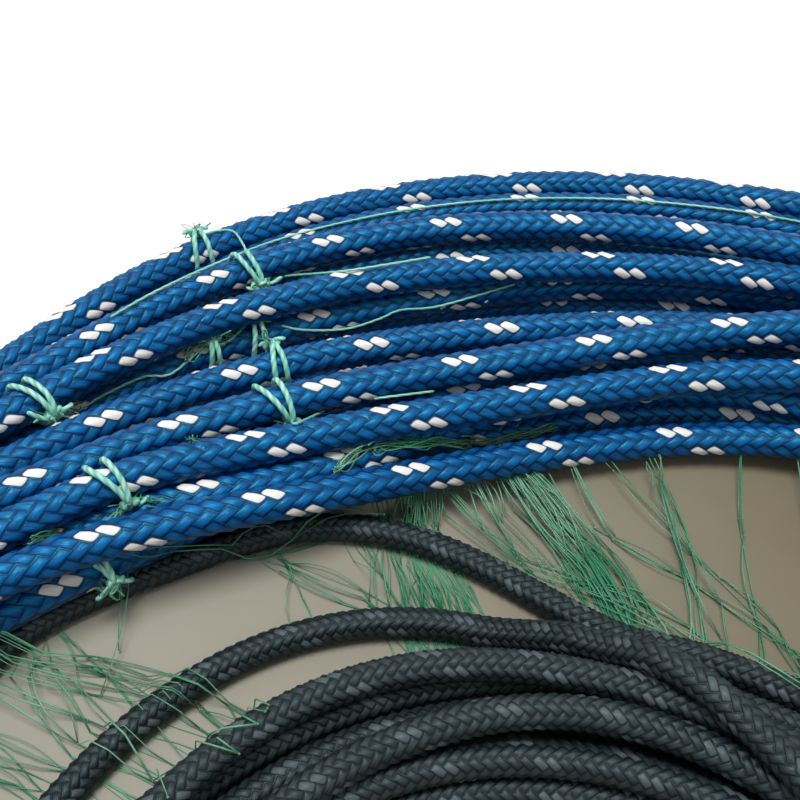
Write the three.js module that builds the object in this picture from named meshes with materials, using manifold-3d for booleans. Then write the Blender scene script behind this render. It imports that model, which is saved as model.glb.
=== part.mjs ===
// A gill net lying in a coil. Units are millimetres, Z is up and the net lies on z = 0.
//
// The float line is a thick braided rope wound into a ring of many turns. The lead line is a thinner
// rope in smaller loops inside that ring. The netting that joins the two is gathered between them, and
// twine ties hold it to the float line.

import * as THREE from 'three';
import { mergeVertices } from 'three/addons/utils/BufferGeometryUtils.js';
import Module from 'manifold-3d';

const wasm = await Module();
wasm.setup();

// ---------------------------------------------------------------- driving dimensions

const FLOAT_LINE = 7; // diameter of the braided float line
const LEAD_LINE = 5.5; // diameter of the braided lead line
const TWINE = 1.1; // diameter of the twine that the ties are made of
const RING_RADIUS = 200; // mean radius of the float line's coil
const GAP = 0.3; // room between two pieces that touch

// Middle of the ring, placed so that the whole net is centred on the origin.
const RING_CENTRE = { x: 1.47, y: -0.5 };

// ---------------------------------------------------------------- how the ring is wound

// The turns lie loose in some places and pinched together in others. Each row gives the spread at an
// angle round the ring, in degrees from +X: 1 is loose, and smaller is narrower and higher.
const SPREADS = [
  { at: 0, spread: 0.86 },
  { at: 35, spread: 0.7 },
  { at: 62, spread: 0.76 },
  { at: 98, spread: 1.02 },
  { at: 133, spread: 0.56 },
  { at: 165, spread: 0.84 },
  { at: 198, spread: 1.0 },
  { at: 232, spread: 0.62 },
  { at: 268, spread: 0.9 },
  { at: 305, spread: 0.98 },
  { at: 335, spread: 0.72 },
];

// The turns of the top layer, from the inside of the ring to the outside. The offset is measured from
// the ring's mean radius, and the height is that of the rope's middle, both where the ring is loose.
const TOP_TURNS = [
  { turn: 'innermost', offset: -38, height: 16 },
  { turn: 'second', offset: -25, height: 17 },
  { turn: 'third', offset: -13, height: 17.5 },
  { turn: 'fourth', offset: -3, height: 16 },
  { turn: 'fifth', offset: 18, height: 17.5 },
  { turn: 'sixth', offset: 34, height: 17 },
  { turn: 'outermost', offset: 47.5, height: 14.5 },
];

// Where a turn wanders from its place: how far outward, how far up, and over what part of the ring.
const WANDERS = [
  { turn: 'third', at: 72, halfWidth: 22, outward: 12, up: 4.5 },
  { turn: 'second', at: 72, halfWidth: 24, outward: 8, up: 0 },
  { turn: 'sixth', at: 70, halfWidth: 22, outward: -7, up: 1 },
  { turn: 'outermost', at: 160, halfWidth: 24, outward: 7, up: -2 },
  { turn: 'fourth', at: 182, halfWidth: 26, outward: 9, up: 1 },
  { turn: 'innermost', at: 205, halfWidth: 24, outward: -8, up: -3 },
  { turn: 'fifth', at: 226, halfWidth: 28, outward: -9, up: 3 },
  { turn: 'second', at: 262, halfWidth: 26, outward: 9, up: 4 },
  { turn: 'outermost', at: 290, halfWidth: 30, outward: 9, up: -3 },
  { turn: 'innermost', at: 318, halfWidth: 22, outward: 7, up: 2 },
  { turn: 'sixth', at: 340, halfWidth: 26, outward: 6, up: 2 },
  { turn: 'fourth', at: 20, halfWidth: 24, outward: -7, up: 3 },
];

const PINCH_LIFT = 8; // how much higher the top layer would lie at a spread of nothing
const FOOT_REACH = 2.5; // how far the lower turns reach past the innermost and outermost top turns
const FOOT_HEIGHT = 6; // height of the lower turns' sides
const TUCK = { at: 117, halfWidth: 30, back: 11 }; // where a loop of the lead line passes under the coil
const VALLEY_DEPTH = 9; // deepest gap that shows between two turns of the top layer
const LEAST_STEP = 5; // least distance between the middles of two neighbouring ridges
const RING_STEPS = 54;

const radians = (degrees) => THREE.MathUtils.degToRad(degrees);

// Smooth swell that is 1 at its middle and 0 from its half width on, for angles in degrees.
function swell(angle, middle, halfWidth) {
  const away = Math.abs(THREE.MathUtils.euclideanModulo(angle - middle + 180, 360) - 180);
  return away < halfWidth ? Math.cos((away / halfWidth) * (Math.PI / 2)) ** 2 : 0;
}

// Spread of the bundle at an angle, eased from row to row of the table.
function spreadAt(angle) {
  const turned = THREE.MathUtils.euclideanModulo(angle, 360);
  const last = SPREADS.length - 1;
  const index = SPREADS.findLastIndex((row) => row.at <= turned);
  const here = SPREADS[index];
  const next = index < last ? SPREADS[index + 1] : { at: 360, spread: SPREADS[0].spread };
  const part = (turned - here.at) / (next.at - here.at);
  return THREE.MathUtils.lerp(here.spread, next.spread, (1 - Math.cos(Math.PI * part)) / 2);
}

// Radius and height of the middle of one top turn at an angle.
function turnAt(row, angle) {
  const spread = spreadAt(angle);
  let radius = RING_RADIUS + spread * row.offset;
  let height = row.height + (1 - spread) * PINCH_LIFT;
  for (const wander of WANDERS.filter((each) => each.turn === row.turn)) {
    const share = swell(angle, wander.at, wander.halfWidth);
    radius += share * wander.outward;
    height += share * wander.up;
  }
  return { radius, height };
}

// All the ridges at an angle, from the inside out, no closer than the least step.
function ridgesAt(angle) {
  const ridges = TOP_TURNS.map((row) => turnAt(row, angle));
  ridges.sort((one, other) => one.radius - other.radius);
  for (let i = 1; i < ridges.length; i += 1) {
    ridges[i].radius = Math.max(ridges[i].radius, ridges[i - 1].radius + LEAST_STEP);
  }
  return ridges;
}

const tuckAt = (angle) => TUCK.back * swell(angle, TUCK.at, TUCK.halfWidth);
const innerFootAt = (angle) => ridgesAt(angle)[0].radius - FLOAT_LINE / 2 - FOOT_REACH + tuckAt(angle);
const outerFootAt = (angle) => ridgesAt(angle).at(-1).radius + FLOAT_LINE / 2 + FOOT_REACH;

// ---------------------------------------------------------------- shapes

// A closed ring round the Z axis whose section changes with the angle. The section is a list of
// [radius, height] points, always as many, that runs anticlockwise with the radius to the right.
function sweptRing(sectionAt, steps) {
  const count = sectionAt(0).length;
  const outline = [...sectionAt(0), sectionAt(0)[0]].map(([radius, height]) => new THREE.Vector2(radius, height));
  const geometry = new THREE.LatheGeometry(outline, steps);
  const position = geometry.getAttribute('position');
  for (let i = 0; i <= steps; i += 1) {
    const angle = (360 * (i % steps)) / steps;
    const section = sectionAt(angle);
    for (let j = 0; j <= count; j += 1) {
      const [radius, height] = section[j % count];
      const x = radius * Math.cos(radians(angle));
      const y = radius * Math.sin(radians(angle));
      position.setXYZ(i * (count + 1) + j, x, y, height);
    }
  }
  return geometry;
}

// A round tube along a closed curve.
function closedTube(curve, diameter, sides, steps) {
  const circle = new THREE.Shape();
  circle.absarc(0, 0, diameter / 2, 0, 2 * Math.PI);
  return new THREE.ExtrudeGeometry(circle, { extrudePath: curve, steps, curveSegments: sides });
}

// three.js geometry to a manifold solid, and back.
function solidOf(geometry) {
  const bare = geometry.clone();
  bare.deleteAttribute('normal');
  bare.deleteAttribute('uv');
  const merged = mergeVertices(bare, 1e-4);
  const vertProperties = new Float32Array(merged.getAttribute('position').array);
  const triVerts = new Uint32Array(merged.index.array);
  return new wasm.Manifold(new wasm.Mesh({ numProp: 3, vertProperties, triVerts }));
}

function geometryOf(solid) {
  const mesh = solid.getMesh();
  const geometry = new THREE.BufferGeometry();
  geometry.setAttribute('position', new THREE.BufferAttribute(mesh.vertProperties, 3));
  geometry.setIndex(new THREE.BufferAttribute(mesh.triVerts, 1));
  geometry.computeVertexNormals();
  return geometry;
}

function joined(geometries) {
  return geometryOf(geometries.map(solidOf).reduce((whole, each) => whole.add(each)));
}

function cutFrom(geometry, cutters) {
  return geometryOf(cutters.map(solidOf).reduce((whole, each) => whole.subtract(each), solidOf(geometry)));
}

// ---------------------------------------------------------------- float line

// Section of the coil: flat where it lies, a round ridge for each top turn, and a valley between two
// turns that is deeper where they lie further apart.
function floatSection(angle) {
  const ridges = ridgesAt(angle);
  const over = [150, 110, 70, 30].map(radians);
  const top = [];
  ridges.forEach((ridge, index) => {
    for (const turned of over) {
      const radius = ridge.radius + (FLOAT_LINE / 2) * Math.cos(turned);
      top.push([radius, ridge.height + (FLOAT_LINE / 2) * Math.sin(turned)]);
    }
    const next = ridges[index + 1];
    if (next) {
      const room = next.radius - ridge.radius - FLOAT_LINE;
      const depth = THREE.MathUtils.clamp(room, 0, VALLEY_DEPTH);
      top.push([(ridge.radius + next.radius) / 2, Math.min(ridge.height, next.height) - depth]);
    }
  });
  const inner = innerFootAt(angle);
  const outer = outerFootAt(angle);
  return [[inner, FOOT_HEIGHT], ...top, [outer, FOOT_HEIGHT], [outer - 2, 0], [inner, 0]].reverse();
}

const floatLine = () => sweptRing(floatSection, RING_STEPS);

// ---------------------------------------------------------------- lead line

// The lead line's turns are circles that shift and grow evenly from the first to the last, so they are
// bunched together on one side of its coil and spread out on the other.
const LEAD_TURNS = { count: 14, first: { x: -30, y: 43, radius: 60 }, last: { x: -20, y: 33, radius: 87 } };
const LEAD_COIL = { x: -25, y: 38, bunched: 135, reach: 3, ridges: 4, steps: 36 };

// Height of the lead line's coil on its bunched side and on its loose side.
const LEAD_HEIGHTS = { bunched: 18, loose: 11 };

// The two loosest loops of the lead line, by the places [x, y] that each passes. A loop lies low outside
// the coil and in its middle, and climbs over its turns where it crosses them.
const LOOSE_LOOPS = [
  {
    name: 'wide loop',
    low: 5.4,
    places: [
      [10, 2], [47, 21], [66, 58], [49, 97], [18, 119], [-6, 130], [-26, 144], [-50, 155],
      [-74, 152], [-98, 141], [-119, 127], [-122, 103], [-110, 77], [-92, 51], [-66, 34], [-34, 20],
    ],
  },
  {
    name: 'second loop',
    low: 5.6,
    places: [
      [20, -9], [36, 24], [36, 44], [24, 82], [-1, 115], [-30, 133], [-61, 132],
      [-90, 114], [-109, 80], [-101, 38], [-72, 19], [-34, 12], [-12, 5],
    ],
  },
];
const CLIMB = 12; // distance over which a loose loop climbs onto the coil
const OVER_COIL = 1.5; // how far a loop's middle lies above the coil's top
const LOOP_STEPS = 36;

const leadTurns = Array.from({ length: LEAD_TURNS.count }, (_, index) => {
  const share = index / (LEAD_TURNS.count - 1);
  const between = (key) => THREE.MathUtils.lerp(LEAD_TURNS.first[key], LEAD_TURNS.last[key], share);
  return { x: between('x'), y: between('y'), radius: between('radius') };
});

// Distance from a point to the far side of a circle, at an angle in degrees, or 0 where it misses.
function distanceToCircle(point, circle, angle) {
  const direction = new THREE.Vector2(Math.cos(radians(angle)), Math.sin(radians(angle)));
  const offset = new THREE.Vector2(circle.x - point.x, circle.y - point.y);
  const reach = circle.radius ** 2 - offset.cross(direction) ** 2;
  return reach > 0 ? offset.dot(direction) + Math.sqrt(reach) : 0;
}

// Inner and outer edge of the lead line's coil at an angle round its middle.
function leadEdgesAt(angle) {
  const distances = leadTurns.map((turn) => distanceToCircle(LEAD_COIL, turn, angle));
  return { inner: Math.min(...distances) - LEAD_COIL.reach, outer: Math.max(...distances) + LEAD_COIL.reach };
}

// Height of the lead line's coil at an angle round its middle.
function leadHeightAt(angle) {
  const looseness = (1 - Math.cos(radians(angle - LEAD_COIL.bunched))) / 2;
  return THREE.MathUtils.lerp(LEAD_HEIGHTS.bunched, LEAD_HEIGHTS.loose, looseness);
}

// Section of the lead line's coil: flat where it lies, with a ridge for each bunch of turns on top.
function leadSection(angle) {
  const { inner, outer } = leadEdgesAt(angle);
  const height = leadHeightAt(angle);
  const edge = Math.min(LEAD_LINE / 2, height / 2);
  const top = [];
  for (let step = 1; step < 2 * LEAD_COIL.ridges; step += 1) {
    const share = step / (2 * LEAD_COIL.ridges);
    const crown = 0.8 + 0.2 * Math.sin(Math.PI * share);
    const dip = step % 2 === 0 ? LEAD_LINE / 2 : 0;
    top.push([THREE.MathUtils.lerp(inner, outer, share), height * crown - dip]);
  }
  return [[inner + 1, 0], [outer - 1, 0], [outer, edge], ...top.reverse(), [inner, edge]];
}

class LooseLoop extends THREE.Curve {
  constructor(row) {
    super();
    this.low = row.low;
    this.route = new THREE.CatmullRomCurve3(row.places.map(([x, y]) => new THREE.Vector3(x, y, 0)), true);
  }

  getPoint(t, target = new THREE.Vector3()) {
    // clear of the float line's foot, which lies round it
    const place = this.route.getPoint(t);
    const ringAngle = THREE.MathUtils.radToDeg(Math.atan2(place.y, place.x));
    const { x, y } = place.clampLength(0, innerFootAt(ringAngle) - GAP - LEAD_LINE / 2);
    const turned = THREE.MathUtils.radToDeg(Math.atan2(y - LEAD_COIL.y, x - LEAD_COIL.x));
    const away = Math.hypot(x - LEAD_COIL.x, y - LEAD_COIL.y);
    const { inner, outer } = leadEdgesAt(turned);
    const rise = 1 - THREE.MathUtils.smoothstep(Math.max(inner - away, away - outer), 0, CLIMB);
    return target.set(x, y, THREE.MathUtils.lerp(this.low, leadHeightAt(turned) + OVER_COIL, rise));
  }
}

function leadLine() {
  const coil = sweptRing(leadSection, LEAD_COIL.steps);
  coil.translate(LEAD_COIL.x, LEAD_COIL.y, 0);
  const loops = LOOSE_LOOPS.map((row) => closedTube(new LooseLoop(row), LEAD_LINE, 4, LOOP_STEPS));
  return joined([coil, ...loops]);
}

// ---------------------------------------------------------------- netting

const NETTING = { thickness: 2, clearance: 2 };

// How high the gathered netting is heaped, by the angle round the ring.
const HEAPS = [
  { at: 300, halfWidth: 75, height: 9 },
  { at: 215, halfWidth: 50, height: 5 },
  { at: 20, halfWidth: 55, height: 6 },
];

// The largest gaps in the netting: staggered rows of uneven diamonds that lean as the netting swirls
// inward. Share is the row's place from the inner edge to the outer, and length a share of that width.
const GAP_ROWS = [
  { share: 0.26, count: 19, start: 4, length: 0.36, width: 15 },
  { share: 0.5, count: 19, start: 13.5, length: 0.38, width: 20 },
  { share: 0.75, count: 19, start: 4, length: 0.36, width: 24 },
];
const GAP_LEAN = 11; // degrees round the ring that a gap leans, from its inner end to its outer
const CLOSED = { from: 112, to: 168 }; // where the netting is pressed together and shows no gap

// Outer and inner edge of the netting: just inside the float line and just outside the lead line's coil.
const nettingOuterAt = (angle) => innerFootAt(angle) - GAP;

function nettingInnerAt(angle) {
  const distances = leadTurns.map((turn) => distanceToCircle({ x: 0, y: 0 }, turn, angle));
  return Math.max(...distances) + LEAD_COIL.reach + NETTING.clearance;
}

// Section of the netting: flat where it lies, with uneven folds heaped where there is more of it.
function nettingSection(angle) {
  const inner = nettingInnerAt(angle);
  const width = nettingOuterAt(angle) - inner;
  const heap = HEAPS.reduce((sum, row) => sum + row.height * swell(angle, row.at, row.halfWidth), 0);
  const shares = [0, 0.25, 0.5, 0.75, 1];
  const top = shares.map((share) => {
    const fold = 0.65 + 0.35 * Math.sin(radians(5 * angle + 300 * share));
    return [inner + share * width, NETTING.thickness + heap * fold * Math.sin(Math.PI * share)];
  });
  return [[inner, 0], [inner + width, 0], ...top.reverse()];
}

// A point of the netting, by its share of the way from the inner edge to the outer.
function netPoint(share, angle) {
  const inner = nettingInnerAt(angle);
  const radius = THREE.MathUtils.lerp(inner, nettingOuterAt(angle), share);
  return new THREE.Vector2(radius * Math.cos(radians(angle)), radius * Math.sin(radians(angle)));
}

// A diamond prism through the netting.
function netGap(row, index) {
  const angle = row.start + (360 / row.count) * index;
  const uneven = 0.8 + 0.2 * Math.sin(2.4 * index + 9 * row.share);
  const inner = netPoint(row.share - (row.length / 2) * uneven, angle - GAP_LEAN / 2);
  const outer = netPoint(row.share + (row.length / 2) * uneven, angle + GAP_LEAN / 2);
  const middle = inner.clone().lerp(outer, 0.5);
  const side = new THREE.Vector2(inner.y - outer.y, outer.x - inner.x).setLength((row.width / 2) * uneven);
  const shape = new THREE.Shape([inner, middle.clone().sub(side), outer, middle.clone().add(side)]);
  return new THREE.ExtrudeGeometry(shape, { depth: 60, bevelEnabled: false }).translate(0, 0, -20);
}

function netGaps() {
  const gaps = [];
  for (const row of GAP_ROWS) {
    for (let index = 0; index < row.count; index += 1) {
      const angle = row.start + (360 / row.count) * index;
      if (angle < CLOSED.from || angle > CLOSED.to) {
        gaps.push(netGap(row, index));
      }
    }
  }
  return gaps;
}

const netting = () => cutFrom(sweptRing(nettingSection, RING_STEPS), netGaps());

// ---------------------------------------------------------------- ties

// Each tie is two wraps of twine round one turn of the float line, with a small knot.
const TIES = [
  { turn: 'outermost', at: 112.2, knot: 100 },
  { turn: 'sixth', at: 110.3, knot: 60 },
  { turn: 'fifth', at: 123.6, knot: 120 },
  { turn: 'fourth', at: 110.6, knot: 110 },
  { turn: 'third', at: 111.6, knot: 120 },
  { turn: 'second', at: 122.8, knot: 125 },
  { turn: 'outermost', at: 60, knot: 80 },
  { turn: 'fifth', at: 38, knot: 120 },
  { turn: 'innermost', at: 8, knot: 125 },
  { turn: 'sixth', at: 352, knot: 70 },
  { turn: 'fifth', at: 322, knot: 110 },
  { turn: 'fifth', at: 298, knot: 60 },
  { turn: 'outermost', at: 262, knot: 90 },
  { turn: 'innermost', at: 232, knot: 120 },
  { turn: 'sixth', at: 200, knot: 75 },
  { turn: 'fourth', at: 158, knot: 110 },
];

const TIE = { width: 2.6, from: 40, to: 140, knot: 2.3, room: 0.6 };

function tie(row) {
  const place = turnAt(TOP_TURNS.find((each) => each.turn === row.turn), row.at);
  const inside = FLOAT_LINE / 2 + TIE.room;
  const band = new THREE.Shape();
  band.absarc(0, 0, inside + TWINE, radians(TIE.from), radians(TIE.to), false);
  band.absarc(0, 0, inside, radians(TIE.to), radians(TIE.from), true);
  const wraps = new THREE.ExtrudeGeometry(band, { depth: TIE.width, bevelEnabled: false, curveSegments: 4 });
  const knot = new THREE.IcosahedronGeometry(TIE.knot, 0);
  const reach = inside + TIE.knot * 0.95;
  knot.translate(reach * Math.cos(radians(row.knot)), reach * Math.sin(radians(row.knot)), TIE.width / 2);
  const geometry = joined([wraps, knot]);
  geometry.translate(0, 0, -TIE.width / 2);
  geometry.rotateX(Math.PI / 2);
  geometry.rotateZ(radians(row.at));
  const x = place.radius * Math.cos(radians(row.at));
  const y = place.radius * Math.sin(radians(row.at));
  return geometry.translate(x, y, place.height);
}

// ---------------------------------------------------------------- the net

const MATERIALS = {
  floatLine: new THREE.MeshStandardMaterial({ color: 0x1d62b4, roughness: 0.55, metalness: 0 }),
  leadLine: new THREE.MeshStandardMaterial({ color: 0x14242b, roughness: 0.7, metalness: 0 }),
  netting: new THREE.MeshStandardMaterial({ color: 0x2f7a55, roughness: 0.35, metalness: 0 }),
  twine: new THREE.MeshStandardMaterial({ color: 0x9fdcc4, roughness: 0.5, metalness: 0 }),
};

const net = new THREE.Group();

function addPiece(name, geometry, material) {
  const piece = new THREE.Mesh(geometry, material);
  piece.name = name;
  net.add(piece);
}

addPiece('float_line', floatLine(), MATERIALS.floatLine);
addPiece('lead_line', leadLine(), MATERIALS.leadLine);
addPiece('netting', netting(), MATERIALS.netting);
TIES.forEach((row, index) => {
  addPiece(`tie_${String(index + 1).padStart(2, '0')}`, tie(row), MATERIALS.twine);
});

net.position.set(RING_CENTRE.x, RING_CENTRE.y, 0);

export default net;
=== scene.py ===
# %% [markdown]
# # A gill net lying in a coil
#
# A gill net is a wall of fine netting hung between two ropes. This one is put away: the braided
# float line is wound into a wide ring, the lead line lies in smaller loops inside it, the netting
# is gathered between the two, and pale twine ties hold it to the float line. This file dresses the
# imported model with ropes, netting, ties and finishes.
#
# All of it is cord of some kind. Tools that push and pull faces suit solid things, but a cord is
# best made from its path: the points are worked out in arrays, and a tube is then built round them.
# Tables of lengths are in millimetres and `MM` turns them into Blender's metres; angles go round the
# ring in degrees, from +X.

import math

import bpy
import numpy as np
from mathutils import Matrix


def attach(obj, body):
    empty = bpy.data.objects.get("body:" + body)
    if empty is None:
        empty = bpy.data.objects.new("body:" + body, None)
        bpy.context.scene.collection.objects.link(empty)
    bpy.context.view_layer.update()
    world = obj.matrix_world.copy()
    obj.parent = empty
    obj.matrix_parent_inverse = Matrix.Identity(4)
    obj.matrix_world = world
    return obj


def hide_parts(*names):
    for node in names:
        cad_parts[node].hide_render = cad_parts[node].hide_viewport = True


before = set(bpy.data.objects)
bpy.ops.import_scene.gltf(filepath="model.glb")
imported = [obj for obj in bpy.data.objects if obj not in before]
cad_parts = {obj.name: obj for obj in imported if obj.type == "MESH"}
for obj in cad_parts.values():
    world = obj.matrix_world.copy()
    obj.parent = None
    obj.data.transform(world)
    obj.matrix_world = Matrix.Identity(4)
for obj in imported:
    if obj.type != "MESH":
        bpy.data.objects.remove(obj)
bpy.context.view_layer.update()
MM = 0.001
RING_CENTRE = np.array([1.47, -0.5, 0.0]) * MM

# %% [markdown]
# ## Camera
#
# The camera stands close over the inside of the coil and looks outward and down, across the turns.
# Near turns then look half as thick again as far ones. A short clipping distance keeps the rope
# nearest to the lens in view.

# %% Camera
EYE = RING_CENTRE + np.array([-45.0, 40.0, 163.0]) * MM
LOOK_DOWN = 47.17
LENS_MM = 45
NEAREST_MM = 5

camera_data = bpy.data.cameras.new("camera")
camera_data.lens = LENS_MM
camera_data.clip_start = NEAREST_MM * MM
camera = bpy.data.objects.new("camera", camera_data)
camera.location = EYE
camera.rotation_euler = (math.radians(90 - LOOK_DOWN), 0, 0)
bpy.context.scene.collection.objects.link(camera)
bpy.context.scene.camera = camera
print("camera at", tuple(round(x, 4) for x in camera.location))

# %% [markdown]
# ## How the float line is wound
#
# The rope is one length, laid turn after turn: a bottom layer, a middle layer, then the top layer
# from the inside of the ring to the outside. A simulated rope could be dropped into a coil, but no
# one could say where its turns would come to lie, so a table gives each turn its place. A row says
# how far a turn lies from the ring's mean radius and how high its middle is where the ring is
# loose. `hold` is how firmly it keeps that place when turns push each other aside.

# %% Turns of the float line
FLOAT_LINE = 7.0
RING_RADIUS = 200.0
TURNS = [
    # name, offset, height, hold
    ("bottom_inner", -32, 3.5, 0.5),
    ("bottom_second", -18, 3.5, 0.02),
    ("bottom_third", -2, 3.5, 0.02),
    ("bottom_fourth", 15, 3.5, 0.02),
    ("bottom_fifth", 31, 3.5, 0.02),
    ("bottom_rim", 47, 3.5, 0.02),
    ("rim", 49, 9.5, 0.30),
    ("under_sixth", 32, 10, 0.05),
    ("under_fifth", 17, 10, 0.10),
    ("under_fourth", -8, 10, 0.05),
    ("under_second", -24, 10, 0.10),
    ("under_first", -36, 10, 0.10),
    ("innermost", -38, 16, 0.25),
    ("second", -25, 17, 0.25),
    ("third", -13, 17.5, 0.25),
    ("fourth", -3, 16, 0.25),
    ("fifth", 18, 17.5, 0.25),
    ("sixth", 34, 17, 0.25),
    ("outermost", 47.5, 14.5, 0.25),
]
NAMES = [row[0] for row in TURNS]
print(len(TURNS), "turns, about", round(len(TURNS) * 2 * math.pi * RING_RADIUS * MM, 1), "m of rope")

# %% [markdown]
# The turns lie loose in some places and pinched together in others, and single turns wander. These
# are the same spreads and wanders as in the CAD model, so the rope keeps to its solid.

# %% Spread and wanders
SPREADS = [
    # angle, spread
    (0, 0.86),
    (35, 0.70),
    (62, 0.76),
    (98, 1.02),
    (133, 0.56),
    (165, 0.84),
    (198, 1.00),
    (232, 0.62),
    (268, 0.90),
    (305, 0.98),
    (335, 0.72),
    (360, 0.86),
]
WANDERS = [
    # turn, angle, half width, outward, up
    ("third", 72, 22, 12, 4.5),
    ("second", 72, 24, 8, 0),
    ("sixth", 70, 22, -7, 1),
    ("outermost", 160, 24, 7, -2),
    ("fourth", 182, 26, 9, 1),
    ("innermost", 205, 24, -8, -3),
    ("fifth", 226, 28, -9, 3),
    ("second", 262, 26, 9, 4),
    ("outermost", 290, 30, 9, -3),
    ("innermost", 318, 22, 7, 2),
    ("sixth", 340, 26, 6, 2),
    ("fourth", 20, 24, -7, 3),
    ("bottom_inner", 127, 25, 0, 8.5),  # over the lead line's second loop
]
PINCH_LIFT = 8.0  # how much higher the top layer would stand if its turns were pinched to nothing
TOP_LAYER = 13.0  # height of the top layer over the bottom one


def eased(x):
    """0 before 0, 1 after 1, and a smooth cosine step between."""
    return 0.5 - 0.5 * np.cos(np.pi * np.clip(x, 0, 1))


def away(angle, middle):
    """How far round the ring an angle is from the middle one, in degrees."""
    return np.abs((angle - middle + 180) % 360 - 180)


def swell(angle, middle, half_width):
    """1 at the middle angle, falling smoothly to 0 at the half width."""
    return np.cos(np.clip(away(angle, middle) / half_width, 0, 1) * np.pi / 2) ** 2


def spread_at(angle):
    """The spread at ring angles, eased from one row of the table to the next."""
    at, spread = np.array(SPREADS, float).T
    row = np.clip(np.searchsorted(at, angle % 360, side="right") - 1, 0, len(at) - 2)
    part = (angle % 360 - at[row]) / (at[row + 1] - at[row])
    return spread[row] + (spread[row + 1] - spread[row]) * eased(part)


print("spread at 90 degrees:", round(float(spread_at(np.array([90.0]))[0]), 3))

# %% [markdown]
# At the front of the coil the turns lie more unevenly than one spread can say: two pairs cross,
# and all crowd together to the left. `FRONT` gives each turn's offset there, at a few angles, and
# `FRONT_UP` raises or lowers four of them. The innermost comes down nearly to the floor at the
# right, where it leaves the turns under it.

# %% Places at the front of the coil
FRONT_AT = (78, 85, 92, 100, 107, 114, 121, 128)
FRONT = {
    "outermost": (45, 52, 53.5, 52, 50, 42, 25, 11),
    "sixth": (16, 27, 32, 35, 33, 27, 16, 5),
    "fifth": (14, 15, 16.5, 17, 17, 16, 11, 3),
    "fourth": (-1, -2, -3, -3, -2, -2, -2.5, -5),
    "third": (-3.5, -10, -13.5, -15, -14, -13.5, -13.5, -13),
    "second": (-13, -18.5, -23, -26, -25.5, -24, -22, -18.5),
    "innermost": (-19.5, -23.2, -27.6, -32, -35, -36.5, -32.5, -25),
    "rim": (39, 43, 44.8, 44.5, 41.5, 33, 26, 15),
    "under_sixth": (24, 30, 32, 33, 31, 27, 18, 8),
    "bottom_fifth": (31, 31, 31, 30, 28, 24, 17, 10),
    "bottom_rim": (49, 52, 53, 52, 49, 40, 28, 17),
    "under_fifth": (17, 19, 18, 16.5, 15.5, 16, 11, 1),
    "under_fourth": (1.5, 1.2, 0, -4, -8, -8, -8, -8),
    "under_second": (-5.8, -6, -7.5, -12, -20, -21, -18, -12),
    "under_first": (-13, -13.5, -15, -20, -28, -33, -26, -20),
    "bottom_second": (-4.5, -6.5, -10, -14, -15, -14, -13, -12),
    "bottom_fourth": (18, 18, 18, 18, 18, 16, 10, 3),
    "bottom_third": (8, 8, 8, 8, 8, 7, 1, -6),
    "bottom_inner": (-12, -14, -18, -22, -24, -24, -27, -29),
}
FRONT_UP = {
    "third": (5, 3, 1, 0, 0, 0, 0, 0),
    "sixth": (5, 2.5, 0.5, 0, 0, 0, 0, 0),
    "rim": (5, 4.5, 4.5, 4.5, 4.5, 4, 0, 0),
    "innermost": (-12.4, -12, -11, -8.5, -5, -1, 0, 0),
}
FRONT_EASE = 14  # degrees over which the table gives way to the spread on either side


def place_of(row, angle):
    """Radius and height of one turn's middle at each angle, in millimetres."""
    name, offset, height, _ = row
    spread = spread_at(angle)
    radius = offset * spread
    height = height + (1 - spread) * PINCH_LIFT * (height - FLOAT_LINE / 2) / TOP_LAYER
    for turn, middle, half_width, outward, up in WANDERS:
        if turn == name:
            radius = radius + outward * swell(angle, middle, half_width)
            height = height + up * swell(angle, middle, half_width)
    share = eased((angle % 360 - FRONT_AT[0]) / FRONT_EASE + 1)
    share = share * eased((FRONT_AT[-1] - angle % 360) / FRONT_EASE + 1)
    if name in FRONT:
        radius = radius + share * (np.interp(angle % 360, FRONT_AT, FRONT[name]) - radius)
    if name in FRONT_UP:
        wander = sum(w[4] * swell(angle, w[1], w[2]) for w in WANDERS if w[0] == name)
        height = height + share * (np.interp(angle % 360, FRONT_AT, FRONT_UP[name]) - wander)
    return RING_RADIUS + radius, height


for row in TURNS[-1], TURNS[12]:
    front = [round(float(x[0]), 1) for x in place_of(row, np.array([100.0]))]
    print(row[0], "at 100 degrees: radius and height", front, "mm")

# %% [markdown]
# A turn becomes the next one over a stretch behind the ring. Then the turns are settled, which is a
# small simulation of our own, slice by slice: each turn is pulled to its place, pushed off its
# neighbours by about one rope's width, kept above the floor and smoothed along its length, as a
# stiff rope would be. With Blender's own physics it would take a chain of thousands of links.

# %% Settle the turns
SLICES = 240  # slices round the ring
JOIN_AT = 290  # ring angle where one turn becomes the next
JOIN_HALF = 50  # half the stretch over which it does, in degrees
SETTLE_STEPS = 300
ONLY_PUSHED = 40  # last steps, in which nothing pulls a turn to its place
PUSHES = 2  # in each step
SINK = 0.05  # how far a turn falls in each step
LEAST_HOLD = 0.03
CLEARANCE = 0.05  # aimed for between two ropes that lie together
angles = JOIN_AT + 360 * np.arange(SLICES) / SLICES


def led_over(own, join_half):
    """Radius and height for each turn and slice, with the end of each turn led into the next."""
    led, slices = own.copy(), own.shape[2]
    half = slices * join_half // 360
    for turn in range(len(own) - 1):
        for step in range(-half, half):
            share = float(eased((step + half) / (2 * half)))
            at = turn if step < 0 else turn + 1
            here, there = own[turn, :, step % slices], own[turn + 1, :, step % slices]
            led[at, :, step % slices] = here + (there - here) * share
    return led[:, 0].copy(), led[:, 1].copy()


def smoothed(line):
    """Each point but the two ends, moved halfway to the middle of its neighbours."""
    out = line.copy()
    out[1:-1] += 0.25 * (line[:-2] + line[2:] - 2 * line[1:-1])
    return out


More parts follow.
